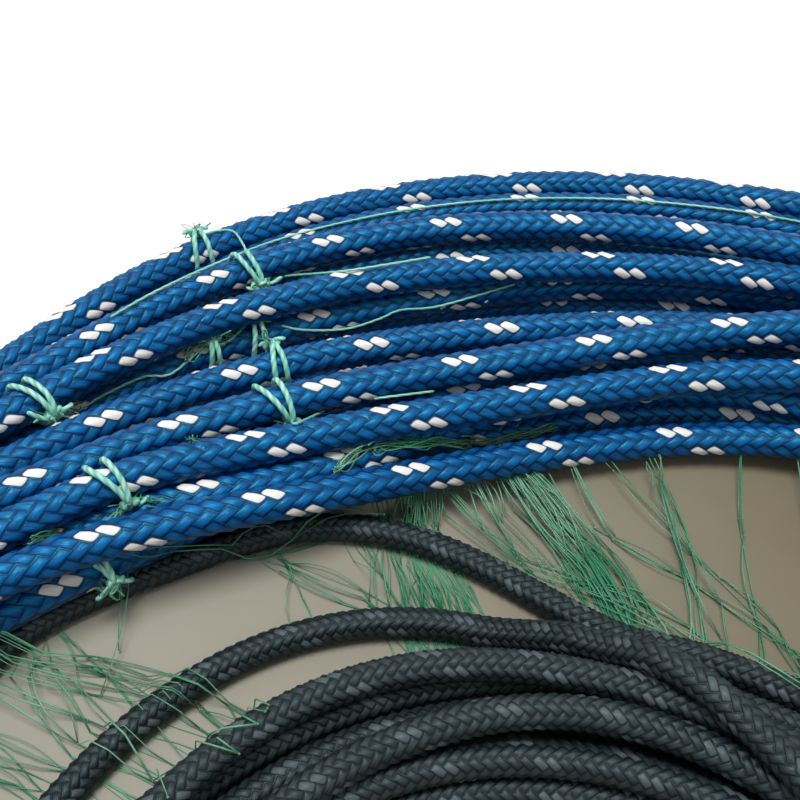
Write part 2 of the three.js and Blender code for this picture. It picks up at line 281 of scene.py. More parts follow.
def settle(radius, height, hold, clear):
    """Turns pulled to their places and pushed apart until about `clear` parts them."""
    first_radius, first_height = radius.copy(), height.copy()
    one, other = np.triu_indices(len(radius), 1)
    looseness = 1 / (hold + LEAST_HOLD)
    share = (looseness[one] / (looseness[one] + looseness[other]))[:, None]
    for step in range(SETTLE_STEPS):
        if step < SETTLE_STEPS - ONLY_PUSHED:
            radius += hold[:, None] * (first_radius - radius)
            height += hold[:, None] * (first_height - height) - SINK
        # one row follows another along the rope, so that they are smoothed as one line
        radius, height = (smoothed(rows.ravel()).reshape(rows.shape) for rows in (radius, height))
        for _ in range(PUSHES):
            across, up = radius[other] - radius[one], height[other] - height[one]
            gap = np.hypot(across, up) + 1e-9
            push = np.clip(clear - gap, 0, None) / 2
            for values, part in ((radius, push * across / gap), (height, push * up / gap)):
                np.add.at(values, one, -part * share)
                np.add.at(values, other, part * (1 - share))
            np.maximum(height, clear / 2, out=height)
    across, up = radius[other] - radius[one], height[other] - height[one]
    return radius, height, float(np.hypot(across, up).min())


turn_radius, turn_height, least = settle(
    *led_over(np.array([place_of(row, angles) for row in TURNS]), JOIN_HALF),
    np.array([row[3] for row in TURNS]),
    FLOAT_LINE + CLEARANCE,
)
print("least distance between two turns:", round(least, 2), "mm")

# %% [markdown]
# Nothing lies under the rope's last stretch, so it comes down to the floor there, moving outward a
# little to clear the turn beside it.

# %% The end of the float line
END_FROM = 22.0  # degrees before its end where the rope starts down
END_DOWN = 18.0  # degrees in which it reaches the floor
END_ASIDE = 12.0  # degrees in which it moves outward
END_OUT = 4.0
into_end = angles - (angles[-1] - END_FROM)
turn_height[-1] += (FLOAT_LINE / 2 - turn_height[-1]) * eased(into_end / END_DOWN)
turn_radius[-1] += END_OUT * eased(into_end / END_ASIDE)
last_gaps = np.hypot(turn_radius[:-1] - turn_radius[-1], turn_height[:-1] - turn_height[-1])
print("end lies at", round(float(turn_height[-1, -1]), 2), "mm; last turn's least distance",
      round(float(last_gaps[:, into_end > 0].min()), 2), "mm")

# %% [markdown]
# ## How the lead line is wound
#
# The lead line lies inside the ring in rounds heaped like stacked pipes: bunched on one side, and
# spread on the other, where the upper rounds sink between the lower ones. Each row gives a round's
# offset from the mean radius and its height, first where they are bunched and then where they are
# loose. The upper ones sway more, in two waves of which each round has its own phase. A plain
# spiral would be quicker, but it would look machine-wound. The rounds are settled as the turns are.

# %% Rounds of the lead line
LEAD_LINE = 5.5
LEAD_MIDDLE = np.array([-25.0, 38.0])
LEAD_RADIUS = 73.5
BUNCHED_AT = 135
ROUNDS = [
    # bunched offset, height, loose offset, height, sway
    (-11.2, 2.8, -21, 2.8, 0.8),
    (-5.6, 2.8, -10, 2.8, 0.8),
    (0, 2.8, 1, 2.8, 0.8),
    (5.6, 2.8, 10, 2.8, 0.8),
    (11.2, 2.8, 21, 2.8, 0.8),
    (8.4, 7.6, 15, 5.5, 1.0),
    (2.8, 7.6, 5, 5.2, 1.0),
    (-2.8, 7.6, -5, 5.2, 1.0),
    (-8.4, 7.6, -15, 5.5, 1.0),
    (-5.6, 12.4, -9, 9, 1.8),
    (0, 12.4, 1, 9, 1.8),
    (5.6, 12.4, 11, 9, 1.8),
    (2.8, 17, 6, 12, 3.0),
    (-2.8, 17, -4, 12, 3.0),
]
LEAD_HOLD = 0.04
SWAY_PHASES = (137, 71)  # degrees from each round to the next
SECOND_WAVE = 0.6
LEAD_SLICES = 180
LEAD_JOIN_AT = 300
LEAD_JOIN_HALF = 60
lead_angles = LEAD_JOIN_AT + 360 * np.arange(LEAD_SLICES) / LEAD_SLICES


def round_place(row, number):
    """Radius and height of one round's middle at each angle, in millimetres."""
    bunched_offset, bunched_height, loose_offset, loose_height, sway = row
    loose = 0.5 - 0.5 * np.cos(np.radians(lead_angles - BUNCHED_AT))
    swaying = np.sin(np.radians(2 * lead_angles + SWAY_PHASES[0] * number))
    swaying = swaying + SECOND_WAVE * np.sin(np.radians(3 * lead_angles + SWAY_PHASES[1] * number))
    offset = bunched_offset + loose * (loose_offset - bunched_offset) + sway * swaying
    return LEAD_RADIUS + offset, bunched_height + loose * (loose_height - bunched_height)


rounds = np.array([round_place(row, number) for number, row in enumerate(ROUNDS)])
lead_radius, lead_height, least = settle(
    *led_over(rounds, LEAD_JOIN_HALF), np.full(len(ROUNDS), LEAD_HOLD), LEAD_LINE + CLEARANCE
)
lead_top_edge = lead_height.max() + LEAD_LINE / 2
print("lead line: least distance", round(least, 2), "mm, top", round(float(lead_top_edge), 1), "mm")

# %% [markdown]
# From the last round the line goes off into two looser loops. Their places are given one by one,
# because both show, and the line through them is then rounded as a stiff cord would be.

# %% Places of the loops
LOOP_PLACES = [
    # first loop, over the rounds, out on to the floor and back over them
    [(20, -9), (30, 6), (36, 24), (36, 44), (32, 63), (24, 82), (12, 101), (-1, 115.5), (-15, 126)],
    [(-30, 132.8), (-45, 134.6), (-61, 132.4), (-76, 126), (-90, 114.5), (-102, 99), (-109, 80)],
    [(-109, 58), (-101, 38), (-87, 25), (-72, 19)],
    # second loop, wider: inside, over the rounds, along their outer side and under the float line
    [(-54, 17), (-34, 12), (-12, 5), (10, 2), (30, 8), (47, 21), (59, 38), (66, 58), (62, 78)],
    [(49, 97), (33, 110.5), (18, 119), (5, 125), (-6, 130), (-14, 135), (-26, 143.8), (-38, 151)],
    [(-50, 155), (-62, 155.6), (-74, 152.6), (-86, 146.4), (-98, 141.2), (-110, 135.2), (-119, 127)],
    [(-123, 116), (-122, 103), (-117, 90), (-110, 77), (-102, 64), (-92, 51), (-80, 40), (-66, 34.5)],
    [(-52, 33)],
]
SECOND_LOOP_ROW = 3
print("loops go through", sum(len(row) for row in LOOP_PLACES), "places")

# %% [markdown]
# The rounds become points in space, and so does the line's first end, which turns back inside them
# on the floor.

# %% Points of the rounds
TAIL_DEGREES = 60  # the line's start turns back this far inside the rounds
TAIL_INWARD = 24
TAIL_STEP = 2.0  # degrees


def round_points():
    """All the rounds, one after another, from the middle of the float line's ring."""
    turned = np.radians(np.tile(lead_angles, len(ROUNDS)))
    r = lead_radius.reshape(-1)
    flat = np.stack([r * np.cos(turned), r * np.sin(turned)], 1) + LEAD_MIDDLE
    return np.insert(flat, 2, lead_height.reshape(-1), axis=1)


def tail_points():
    """The line's first end, from its tip to where the first round starts."""
    back = np.arange(TAIL_DEGREES, 0, -TAIL_STEP)
    turned = np.radians(LEAD_JOIN_AT - back)
    radius = lead_radius[0, 0] - TAIL_INWARD * eased(back / TAIL_DEGREES)
    flat = LEAD_MIDDLE + radius[:, None] * np.stack([np.cos(turned), np.sin(turned)], 1)
    return np.insert(flat, 2, LEAD_LINE / 2, axis=1)


lead_rounds = round_points()
print("rounds:", len(lead_rounds), "points; first end:", len(tail_points()), "points")

# %% [markdown]
# The loops lie over whatever is below them: wherever a loop passes over a round it rests on it, and
# between it comes down as far as a stiff cord can. Gravity would find the same heights, but this
# asks only how high the highest thing below each point is, and smooths what it finds.

# %% Rest the loops on what is below them
LOOP_STEP = 1.6
LOOP_ROUNDING = 60  # times the line through the places is smoothed
DRAPE_STEPS = 14
BELOW_STEP = 0.5
OWN_END = 30  # of those steps: a loop doesn't rest on the end that it goes on from


def finely(points, step):
    """Points at even steps along straight lines between the given ones."""
    steps = np.linalg.norm(np.diff(points, axis=0), axis=1)
    at = np.concatenate([[0], np.cumsum(steps)])
    along = np.arange(0, at[-1], step)
    return np.stack([np.interp(along, at, points[:, k]) for k in range(3)], 1)


def resting_height(flat, below, clear, floor_height):
    """The least height of a cord's middle over the floor and over the points of what is below."""
    height = np.full(len(flat), floor_height)
    for k, (x, y) in enumerate(flat):
        near = below[(abs(below[:, 0] - x) < clear) & (abs(below[:, 1] - y) < clear)]
        reach = clear**2 - (near[:, 0] - x) ** 2 - (near[:, 1] - y) ** 2
        tops = near[:, 2] + np.sqrt(np.clip(reach, 0, None))
        height[k] = tops[reach > 0].max(initial=floor_height)
    return height


def draped(least_height):
    """A stiff cord's height: never below `least_height`, and smooth between the humps."""
    height = least_height
    for _ in range(DRAPE_STEPS):
        height = np.maximum(smoothed(height), least_height)
    return height


places = [tuple(lead_rounds[-1, :2])] + [place for row in LOOP_PLACES for place in row]
loop_flat = finely(np.insert(np.array(places, float), 2, 0, axis=1), LOOP_STEP)[:, :2]
for _ in range(LOOP_ROUNDING):
    loop_flat = smoothed(loop_flat)
split = int(np.linalg.norm(loop_flat - LOOP_PLACES[SECOND_LOOP_ROW][0], axis=1).argmin())
lead_loops = np.zeros((0, 3))
for part in (loop_flat[1:split], loop_flat[split:]):
    below = finely(np.concatenate([tail_points(), lead_rounds, lead_loops]), BELOW_STEP)[:-OWN_END]
    least_height = resting_height(part, below, LEAD_LINE + CLEARANCE, LEAD_LINE / 2)
    lead_loops = np.concatenate([lead_loops, np.insert(part, 2, least_height, axis=1)])
lead_loops[:, 2] = draped(np.concatenate([lead_rounds[-1:, 2], lead_loops[:, 2]]))[1:]
lead_points = np.concatenate([tail_points(), lead_rounds, lead_loops])
print("loops lie from", lead_loops[:, 2].min(), "to", round(lead_loops[:, 2].max(), 1), "mm high")

# %% [markdown]
# ## Braided rope as a mesh
#
# The braid has eight yarns each way round. Sixteen woven curves would be the most faithful way, at
# millions of faces for this much rope, and bumps in a finish would leave its outline smooth. So one
# tube carries the braid in its own shape. Numbering the yarns `a` one way and `b` the other, a yarn
# passes over two and under two, so the yarn on top depends on the sum of the two numbers. Each
# yarn's crown stands proud and the grooves between yarns are real dips. The mesh's rings and sides
# fall on the braid's own lattice, so a few faces show every yarn.

# %% Braid
YARNS = 8
LATTICE = 2 * YARNS  # lattice steps round the rope, and along one repeat
PROUD = 0.055  # share of the diameter by which a groove dips; a crown stands proud by half of it
YARN_FALL = 0.9  # how steeply a yarn dips along its length, before it goes under another


def braid_height(around, along):
    """1 on the crown of a yarn and 0 in a groove; both are counted in turns and repeats."""
    a, b = YARNS * (around - along) + 1e-7, YARNS * (around + along) + 1e-7
    left, right = np.floor(a), np.floor(b)
    rest_a, rest_b = a - left - 0.5, b - right - 0.5
    step = (left + right) % 4
    is_a = step < 2
    across = np.where(is_a, rest_a, rest_b)
    length = np.where(is_a, rest_b, rest_a) + step % 2 - 0.5
    round_across = np.clip(1 - 4 * across**2, 0, 1) ** 0.5
    return round_across * np.clip(1 - YARN_FALL * length**2, 0, 1) ** 0.5


print("height on a crown and in a groove:", braid_height(0.0625, 0.0), braid_height(0.0, 0.0))

# %% [markdown]
# A rope is a tube along evenly spaced points. Blender's curves can be given a round section too,
# but their rings can't be laid on a lattice. The section keeps one side up, so that a repeat of the
# braid can be counted from there.


# %% Points along a rope
def evenly_spaced(points, distances):
    """Points on a smooth curve through `points`, at distances along it."""
    steps = np.linalg.norm(np.diff(points, axis=0), axis=1)
    lengths = np.concatenate([[0], np.cumsum(steps)])
    row = np.clip(np.searchsorted(lengths, distances, side="right") - 1, 0, len(steps) - 1)
    t = ((distances - lengths[row]) / steps[row])[:, None]
    last = len(points) - 1
    before, here, there, after = (points[np.clip(row + k, 0, last)] for k in (-1, 0, 1, 2))
    bend = 2 * before - 5 * here + 4 * there - after
    return here + t / 2 * (there - before + t * (bend + t * (3 * here - before - 3 * there + after)))


def length_of(points):
    """The length of the straight lines from point to point."""
    return float(np.linalg.norm(np.diff(points, axis=0), axis=1).sum())


def frames_along(points):
    """Outward and upward directions across a run of points."""
    ahead = np.gradient(points, axis=-2)
    ahead /= np.linalg.norm(ahead, axis=-1, keepdims=True)
    outward = np.cross(ahead, [0.0, 0.0, 1.0])
    outward /= np.maximum(np.linalg.norm(outward, axis=-1, keepdims=True), 1e-9)
    return outward, np.cross(outward, ahead)


print("lead line:", round(length_of(lead_points) * MM, 2), "m through", len(lead_points), "points")


# %% [markdown]
# Every piece here is made from arrays of points and triangles. Each square of a rope's lattice is
# split in two along the ridge of a crown or the foot of a groove, whichever runs through it.


# %% Faces of a rope
def mesh_piece(name, points, triangles, maps=None):
    """An object at the origin from arrays of points and triangles, shaded smooth."""
    mesh = bpy.data.meshes.new(name)
    mesh.from_pydata(points.tolist(), [], triangles.tolist())
    for map_name, corners in (maps or {}).items():
        layer = mesh.uv_layers.new(name=map_name, do_init=False)
        layer.uv.foreach_set("vector", corners.astype(np.float32).ravel())
    mesh.shade_smooth()
    piece = bpy.data.objects.new(name, mesh)
    bpy.context.scene.collection.objects.link(piece)
    return piece


def rope_faces(rings, first_ring, stride):
    """Triangles of a rope's tube, and each corner's place in `weave`, in lattice steps."""
    sides = LATTICE // stride
    side, ring = np.meshgrid(np.arange(sides), np.arange(rings - 1))
    here, beside = (ring * sides + side).ravel(), (ring * sides + (side + 1) % sides).ravel()
    ahead, beyond = here + sides, beside + sides
    u, v = side.ravel() * stride, ring.ravel() * stride + first_ring
    crown = braid_height((u + 0.5) / LATTICE, (v + 0.5) / LATTICE) > 0.5
    from_here = ((u + v) % 2 == 1) == crown  # split along a crown's ridge or a groove's foot
    triangles, corners = np.zeros((2, len(u), 3), int), np.zeros((2, len(u), 3, 2))
    ends = {
        "here": (here, 0, 0),
        "beside": (beside, 1, 0),
        "beyond": (beyond, 1, 1),
        "ahead": (ahead, 0, 1),
    }
    splits = {
        True: (("here", "beside", "beyond"), ("here", "beyond", "ahead")),
        False: (("here", "beside", "ahead"), ("beside", "beyond", "ahead")),
    }
    for way, halves in splits.items():
        chosen = from_here == way
        for half, names in enumerate(halves):
            for corner, name in enumerate(names):
                index, across, along = ends[name]
                triangles[half, chosen, corner] = index[chosen]
                corners[half, chosen, corner, 0] = u[chosen] + across * stride
                corners[half, chosen, corner, 1] = v[chosen] + along * stride
    return triangles.reshape(-1, 3), corners.reshape(-1, 3, 2)


print("one repeat of the braid has", len(rope_faces(LATTICE + 1, 0, 1)[0]), "triangles")

# %% [markdown]
# The map `weave` holds turns round the rope and repeats along it, which the finishes read. A second
# one lays all the repeats on each other, so that a bake has room. A cap closes each end of a piece,
# and where the rope itself ends its last rings narrow first.

# %% A rope
PLAIN_RELIEF = 0.75  # height of a rope without yarns, between groove and crown
END_TAPER = np.array([0.5, 0.8, 0.95])  # of the radius, from the tip inward


def rope_piece(name, points, diameter, first_ring, roll, tapered, stride):
    """A braided rope along points one lattice step apart; `tapered` says which ends are real.

    A stride of 2 makes a rope that is hidden under others from plain, larger faces."""
    points, roll = points[::stride], roll[::stride]
    rings, sides = len(points), LATTICE // stride
    ring, side = np.arange(rings)[:, None], np.arange(sides)[None, :]
    around, along = side / sides, (ring * stride + first_ring) / LATTICE
    relief = braid_height(around, along) if stride == 1 else np.full((rings, sides), PLAIN_RELIEF)
    radius = diameter * (0.5 - PROUD + 1.5 * PROUD * relief)
    for end, real in zip((slice(0, 3), slice(-1, -4, -1)), tapered):
        if real:
            radius[end] *= END_TAPER[:, None]
    turned = 2 * np.pi * (around + roll[:, None])
    outward, upward = frames_along(points)
    spokes = np.cos(turned)[..., None] * upward[:, None] + np.sin(turned)[..., None] * outward[:, None]
    surface = (points[:, None] + radius[..., None] * spokes).reshape(-1, 3)
    faces, weave = rope_faces(rings, first_ring, stride)
    middles = len(surface) + np.arange(2)
    surface = np.concatenate([surface, points[[0, -1]]])
    cap = np.arange(sides)
    base = (rings - 1) * sides
    start = np.stack([np.full(sides, middles[0]), (cap + 1) % sides, cap], 1)
    finish = np.stack([np.full(sides, middles[1]), base + cap, base + (cap + 1) % sides], 1)
    weave = np.concatenate([weave, np.zeros((2 * sides, 3, 2))]) / LATTICE
    stacked = weave.copy()
    stacked[..., 1] -= np.floor(weave[..., 1].min(1) + 1e-6)[:, None]
    maps = {"weave": weave, "OFBake": stacked}
    return mesh_piece(name, surface, np.concatenate([faces, start, finish]), maps)


def lay_rope(name, node, path, diameter, first_ring, roll, tapered, stride=1):
    """A rope piece that stands for a CAD node, whose part it hides."""
    piece = rope_piece(name, path, diameter, first_ring, roll, tapered, stride)
    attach(piece, "root")
    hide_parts(node)
    print(name, round(length_of(path), 2), "m,", len(piece.data.polygons), "faces")
    return piece


print("a crown is at", round(0.5 + PROUD / 2, 4), "and a groove at", 0.5 - PROUD, "of the diameter")

# %% [markdown]
# White tracer yarns show as pairs of flecks in four columns round the rope, one pair in each
# repeat of every column. The rope is rolled and its repeats are shifted a little from turn to turn,
# so that each turn of the top layer shows its flecks where it should: the table gives the ring
# angle of one pair and how far round the section from the top it sits, inward being negative.

# %% Lay the float line
REPEAT = 28.4  # length of one repeat of the braid
FLECK = (0.09375, -0.03125)  # where a pair of flecks is, in turns and repeats
FLECKS = {
    "innermost": (95.5, -5),
    "second": (96.4, 16),
    "third": (100.2, -7),
    "fourth": (96.9, -24),
    "fifth": (95.7, -76),
    "sixth": (98.5, -17),
    "outermost": (99.5, -71),
}
CENTRE_MM = RING_CENTRE / MM
turned = np.radians(np.tile(angles, len(TURNS)))
radii, heights = turn_radius.reshape(-1), turn_height.reshape(-1)  # along the whole rope
float_points = np.stack([radii * np.cos(turned), radii * np.sin(turned), heights], 1) + CENTRE_MM
float_steps = np.linalg.norm(np.diff(float_points, axis=0), axis=1)
float_lengths = np.concatenate([[0], np.cumsum(float_steps)])


def along_slices(turn, angle, values):
    """A value at a ring angle on one turn, from the values at all slices along the rope."""
    at = turn * SLICES + (angle - JOIN_AT) % 360 / 360 * SLICES
    return np.interp(at, range(len(values)), values)


anchors = [(0.0, 0.0, 0.1)]  # distance along the rope, repeats counted there, and roll in turns
for turn, name in enumerate(NAMES):
    angle, section = FLECKS.get(name, (100, 37.0 * turn % 90 - 45))  # hidden turns: here and there
    distance = along_slices(turn, angle, float_lengths)
    anchors.append((distance, round(distance / REPEAT) + FLECK[1], section / 360 - FLECK[0]))
distance, repeats, rolled = anchors[-1]
anchors.append((float_lengths[-1], repeats + (float_lengths[-1] - distance) / REPEAT, rolled))
anchor_length, anchor_repeat, anchor_roll = np.array(anchors).T
ring_repeat = np.arange(int(anchor_repeat[-1] * LATTICE)) / LATTICE
ring_length = np.interp(ring_repeat, anchor_repeat, anchor_length)
ring_roll = np.interp(ring_length, anchor_length, anchor_roll)
float_path = evenly_spaced(float_points, ring_length) * MM
print("float line:", round(length_of(float_path), 2), "m in", len(float_path), "rings")

# %% [markdown]
# The rope is laid in four pieces that fit end to end, so that each stays under 200,000 triangles.
# The lowest turns lie under all the others and get plain, larger faces.

# %% Pieces of the float line
PARTS = {
    # first turn, and the one it ends before
    "float_line_low": (0, 6),
    "float_line_middle": (6, 12),
    "float_line_inner": (12, 16),
    "float_line_outer": (16, 19),
}
float_pieces = []
for name, (first_turn, last_turn) in PARTS.items():
    slices = [min(turn * SLICES, len(float_lengths) - 1) for turn in (first_turn, last_turn)]
    low, high = np.searchsorted(ring_length, float_lengths[slices])
    part = slice(low, high + 1)
    ends = (first_turn == 0, last_turn == len(TURNS))
    stride = 1 if first_turn else 2
    laid = float_path[part], FLOAT_LINE * MM, low, ring_roll[part], ends, stride
    float_pieces.append(lay_rope(name, "float_line", *laid))

# %% [markdown]
# The lead line is a thinner braid with as many yarns, so the same helpers make it, in two halves. It
# rolls slowly along its length, or its yarns would line up from round to round.

# %% Lay the lead line
LEAD_REPEAT = 16.0
ROLL_SWING = 0.05  # turns that the line rolls to and fro
SWING_LENGTH = 90
ROLL_LENGTH = 4000  # in which it rolls once round
lead_at = np.arange(0, length_of(lead_points), LEAD_REPEAT / LATTICE)
lead_path = (evenly_spaced(lead_points, lead_at) + CENTRE_MM) * MM
lead_roll = ROLL_SWING * np.sin(lead_at / SWING_LENGTH) + lead_at / ROLL_LENGTH
half = len(lead_path) // 2
HALVES = {
    "lead_line_lower": (slice(0, half + 1), (True, False)),
    "lead_line_upper": (slice(half, None), (False, True)),
}
lead_pieces = []
for name, (part, ends) in HALVES.items():
    laid = lead_path[part], LEAD_LINE * MM, part.start, lead_roll[part], ends
    lead_pieces.append(lay_rope(name, "lead_line", *laid))

# %% [markdown]
# ## Ties
#
# Each tie is a pale twine of two plies: it goes twice round the rope and is knotted there. The two
# wraps stand a few millimetres apart and run together at the knot, and two short ends stick out.
# The table gives the place of each, and the knot's place round the section: 0 is outward, 90 the
# top and 180 inward. `lean` is how far the knot sits from the wraps along the rope.

# %% Table of ties
TWINE = 1.2
TIES = [
    # turn, ring angle, knot, gap between wraps, lean
    ("outermost", 112.3, 58, 4.6, 0.5),
    ("sixth", 110.6, 186, 3.5, 2.7),
    ("fifth", 124.4, 182, 3.3, 3.6),
    ("fourth", 110.8, 40, 2.7, 0.0),
    ("third", 112.1, 205, 4.0, 2.6),
    ("second", 123.0, 200, 3.4, 2.2),
    ("bottom_inner", 125.9, 180, 3.4, 3.0),
    ("under_fifth", 110.9, 70, 4.3, 0.0),
    ("under_fifth", 114.0, 100, 3.6, 1.5),
    ("outermost", 60, 80, 4.0, 1.0),
    ("fifth", 38, 120, 3.4, -1.5),
    ("innermost", 8, 125, 4.2, 1.5),
    ("sixth", 352, 70, 3.4, 0.8),
    ("fifth", 322, 110, 3.8, -1.0),
    ("fifth", 298, 60, 3.2, 1.2),
    ("outermost", 262, 90, 4.4, 1.0),
    ("innermost", 232, 120, 3.6, -2.0),
    ("sixth", 200, 75, 3.8, 1.5),
    ("fourth", 158, 110, 3.4, 1.0),
    ("innermost", 64, 165, 3.8, 2.0),
    ("second", 52, 95, 3.2, -1.2),
    ("third", 24, 70, 3.8, 1.0),
    ("outermost", 12, 60, 4.0, 1.5),
    ("fourth", 336, 95, 3.4, 1.0),
    ("innermost", 306, 150, 4.0, 1.8),
    ("second", 284, 110, 3.6, 1.0),
    ("third", 246, 85, 3.6, -1.4),
    ("fifth", 214, 130, 3.4, 1.2),
    ("second", 182, 120, 3.8, 2.0),
    ("outermost", 168, 75, 4.2, 1.0),
    ("sixth", 146, 85, 3.4, -1.0),
    ("innermost", 150, 160, 3.8, 2.2),
]
print(len(TIES), "ties on", len({row[0] for row in TIES}), "turns")

# %% [markdown]
# Ties, twine and tangles all find their places on a turn in the same way: by its name, the ring
# angle, the place round its section and how far off its skin they lie.

# %% Places on the float line
FLOAT_SKIN = 0.5 * FLOAT_LINE * (1 + PROUD)
UP = np.array([0.0, 0.0, 1.0])


def float_middle(turn, angle):
    """The middle of a turn at a ring angle, and the directions ahead and outward there."""
    r, z = (along_slices(NAMES.index(turn), angle, values) for values in (radii, heights))
    turned = np.radians(angle)
    flat = np.zeros_like(turned)
    outward = np.stack([np.cos(turned), np.sin(turned), flat], -1)
    ahead = np.stack([-np.sin(turned), np.cos(turned), flat], -1)
    return outward * r[..., None] + np.stack([flat, flat, z], -1) + CENTRE_MM, ahead, outward


def on_float(turn, angle, section, out):
    """A point `out` millimetres off the skin of a turn."""
    middle, _, outward = float_middle(turn, angle)
    round_it = np.radians(np.asarray(section, float))[..., None]
    return middle + (FLOAT_SKIN + out) * (np.cos(round_it) * outward + np.sin(round_it) * UP)


print("rope skin at", round(FLOAT_SKIN, 2), "mm; top of the outermost turn in front at",
      round(float(on_float("outermost", 100, 90, 0)[2]), 1), "mm")

# %% [markdown]
# Twine is two plies turned round each other: here a small tube with two lobes that wind along it,
# which costs half as much as two tubes and looks the same at this size. Its section is carried
# along the path without twisting, so it works for wraps and knots, where the fixed upward side of
# the ropes would fail.


# %% Carried frames
def smooth_curve(points, step):
    """A smooth curve through a few points, at even steps."""
    points = np.asarray(points, float)
    whole = length_of(points)
    return evenly_spaced(points, np.arange(0, whole + step / 2, step).clip(max=whole))


def carried_frames(points):
    """Two directions across a path at each point, turning as little as they can."""
    ahead = np.gradient(points, axis=0)
    ahead /= np.linalg.norm(ahead, axis=1, keepdims=True)
    side = np.cross(ahead[0], [0.1, 0.2, 1.0] if abs(ahead[0, 2]) < 0.9 else [1.0, 0.2, 0.1])
    sides = []
    for forward in ahead:
        side = side - forward * side.dot(forward)
        side /= np.linalg.norm(side)
        sides.append(side)
    sides = np.array(sides)
    return sides, np.cross(ahead, sides)


across_a_line = carried_frames(np.outer(np.arange(3.0), [1.0, 0.0, 0.0]))
print("across a line along X:", [tuple(round(float(x), 2) for x in side[0]) for side in across_a_line])

# %% [markdown]
# One length of twine is a ring of six or eight points carried along the path, closed at both ends.
# Its `weave` map counts turns round it and pitches of the plies along it. Many lengths are joined
# into one object, because hundreds of small ones would be slow to handle.

# %% A length of twine
PLY_PITCH = 4.4  # length in which the two plies go once round each other
LOBES = 0.05  # how far the plies stand out and the grooves go in
CUT_END = 0.45  # radius at a cut end, as a share of the rest


def twine_tube(path, diameter, sides=8, thin_ends=True):
    """Points, triangles and `weave` corners of one length of twine, in millimetres."""
    rings = len(path)
    one, other = carried_frames(path)
    along = np.arange(rings) * (length_of(path) / max(rings - 1, 1)) / PLY_PITCH
    turned = 2 * np.pi * np.arange(sides) / sides
    lobes = 1 - LOBES + LOBES * np.cos(2 * (turned[None] - 2 * np.pi * along[:, None]))
    radius = diameter / 2 * lobes
    if thin_ends:
        radius[[0, -1]] *= CUT_END
    spokes = np.cos(turned)[None, :, None] * one[:, None] + np.sin(turned)[None, :, None] * other[:, None]
    surface = (path[:, None] + radius[..., None] * spokes).reshape(-1, 3)
    side, ring = (x.ravel() for x in np.meshgrid(np.arange(sides), np.arange(rings - 1)))
    here, beside = ring * sides + side, ring * sides + (side + 1) % sides
    ahead, beyond = here + sides, beside + sides
    quads = np.stack([here, beside, beyond, ahead], 1)
    corners = np.stack(
        [np.stack([side + across, ring + on], 1) for across, on in ((0, 0), (1, 0), (1, 1), (0, 1))], 1
    ) * np.array([1 / sides, along[-1] / max(rings - 1, 1)])
    cap = np.arange(sides - 2)
    base = (rings - 1) * sides
    caps = [np.stack([0 * cap, cap + 2, cap + 1], 1), base + np.stack([0 * cap, cap + 1, cap + 2], 1)]
    triangles = np.concatenate([quads[:, [0, 1, 2]], quads[:, [0, 2, 3]], *caps])
    weave = np.concatenate([corners[:, [0, 1, 2]], corners[:, [0, 2, 3]], np.zeros((2 * len(cap), 3, 2))])
    return surface, triangles, weave


def joined_piece(name, tubes):
    """One object from many tubes in millimetres: points, triangles and, for twine, `weave` corners."""
    starts = np.cumsum([0] + [len(tube[0]) for tube in tubes[:-1]])
    surface = np.concatenate([tube[0] for tube in tubes]) * MM
    triangles = np.concatenate([tube[1] + start for tube, start in zip(tubes, starts)])
    maps = {"weave": np.concatenate([tube[2] for tube in tubes])} if len(tubes[0]) == 3 else None
    return mesh_piece(name, surface, triangles, maps)


print("one wrap is about", round(2 * math.pi * (FLOAT_SKIN + TWINE / 2), 1), "mm of twine")

# %% [markdown]
# A real tie is one length of twine, but nobody sees how it runs inside its knot. So each wrap starts
# and ends under the knot, and the knot is drawn over both as a trefoil: a curve that passes over and
# under itself three times, which is what a tight overhand knot looks like from outside. Each knot
# is turned, sized and tailed differently.

# %% Wraps, knots and tails
WRAP_POINTS = 38
KNOT_POINTS = 46
KNOT_OUT = 1.3  # how far the middle of a knot stands off the rope's skin
KNOT_SIZE = (0.42, 0.52)
KNOT_SHAPE = (1.15, 0.8, -1.1)  # along the rope, round it and outward
TAIL_LENGTH = (2.6, 5.0)
TWINE_STEP = 0.7
dice = np.random.default_rng(11)


def wrap(middle, ahead, outward, knot, side, gap, lean):
    """A wrap that starts and ends at the knot, and is half the gap aside on the rope's far side."""
    around = np.linspace(0, 2 * np.pi, WRAP_POINTS)
    opposite = np.sin(around / 2) ** 2
    section = (np.radians(knot) + around)[:, None]
    slack = 0.35 * np.sin(1.5 * around + dice.uniform(0, 6))[:, None] ** 2
    lifted = 0.9 * (1 - opposite)[:, None] ** 6  # over the knot's foot
    reach = FLOAT_SKIN + 0.5 * TWINE + slack + lifted
    along = side * gap / 2 * opposite**0.45 - lean * (1 - opposite) ** 1.5
    along = along + 0.25 * np.sin(2 * around + dice.uniform(0, 6))
    return middle + reach * (np.cos(section) * outward + np.sin(section) * UP) + along[:, None] * ahead


def trefoil(place, directions):
    """A knot at a place, turned any way about the last direction, which is outward."""
    t = np.linspace(0, 2 * np.pi, KNOT_POINTS)
    size, tilt = dice.uniform(*KNOT_SIZE), dice.uniform(0, 2 * np.pi)
    x, y = np.sin(t) + 2 * np.sin(2 * t), np.cos(t) - 2 * np.cos(2 * t)
    x, y = x * math.cos(tilt) - y * math.sin(tilt), x * math.sin(tilt) + y * math.cos(tilt)
    curve = np.stack([x, y, np.sin(3 * t)], 1) * KNOT_SHAPE * size
    return place + curve @ np.stack(directions)


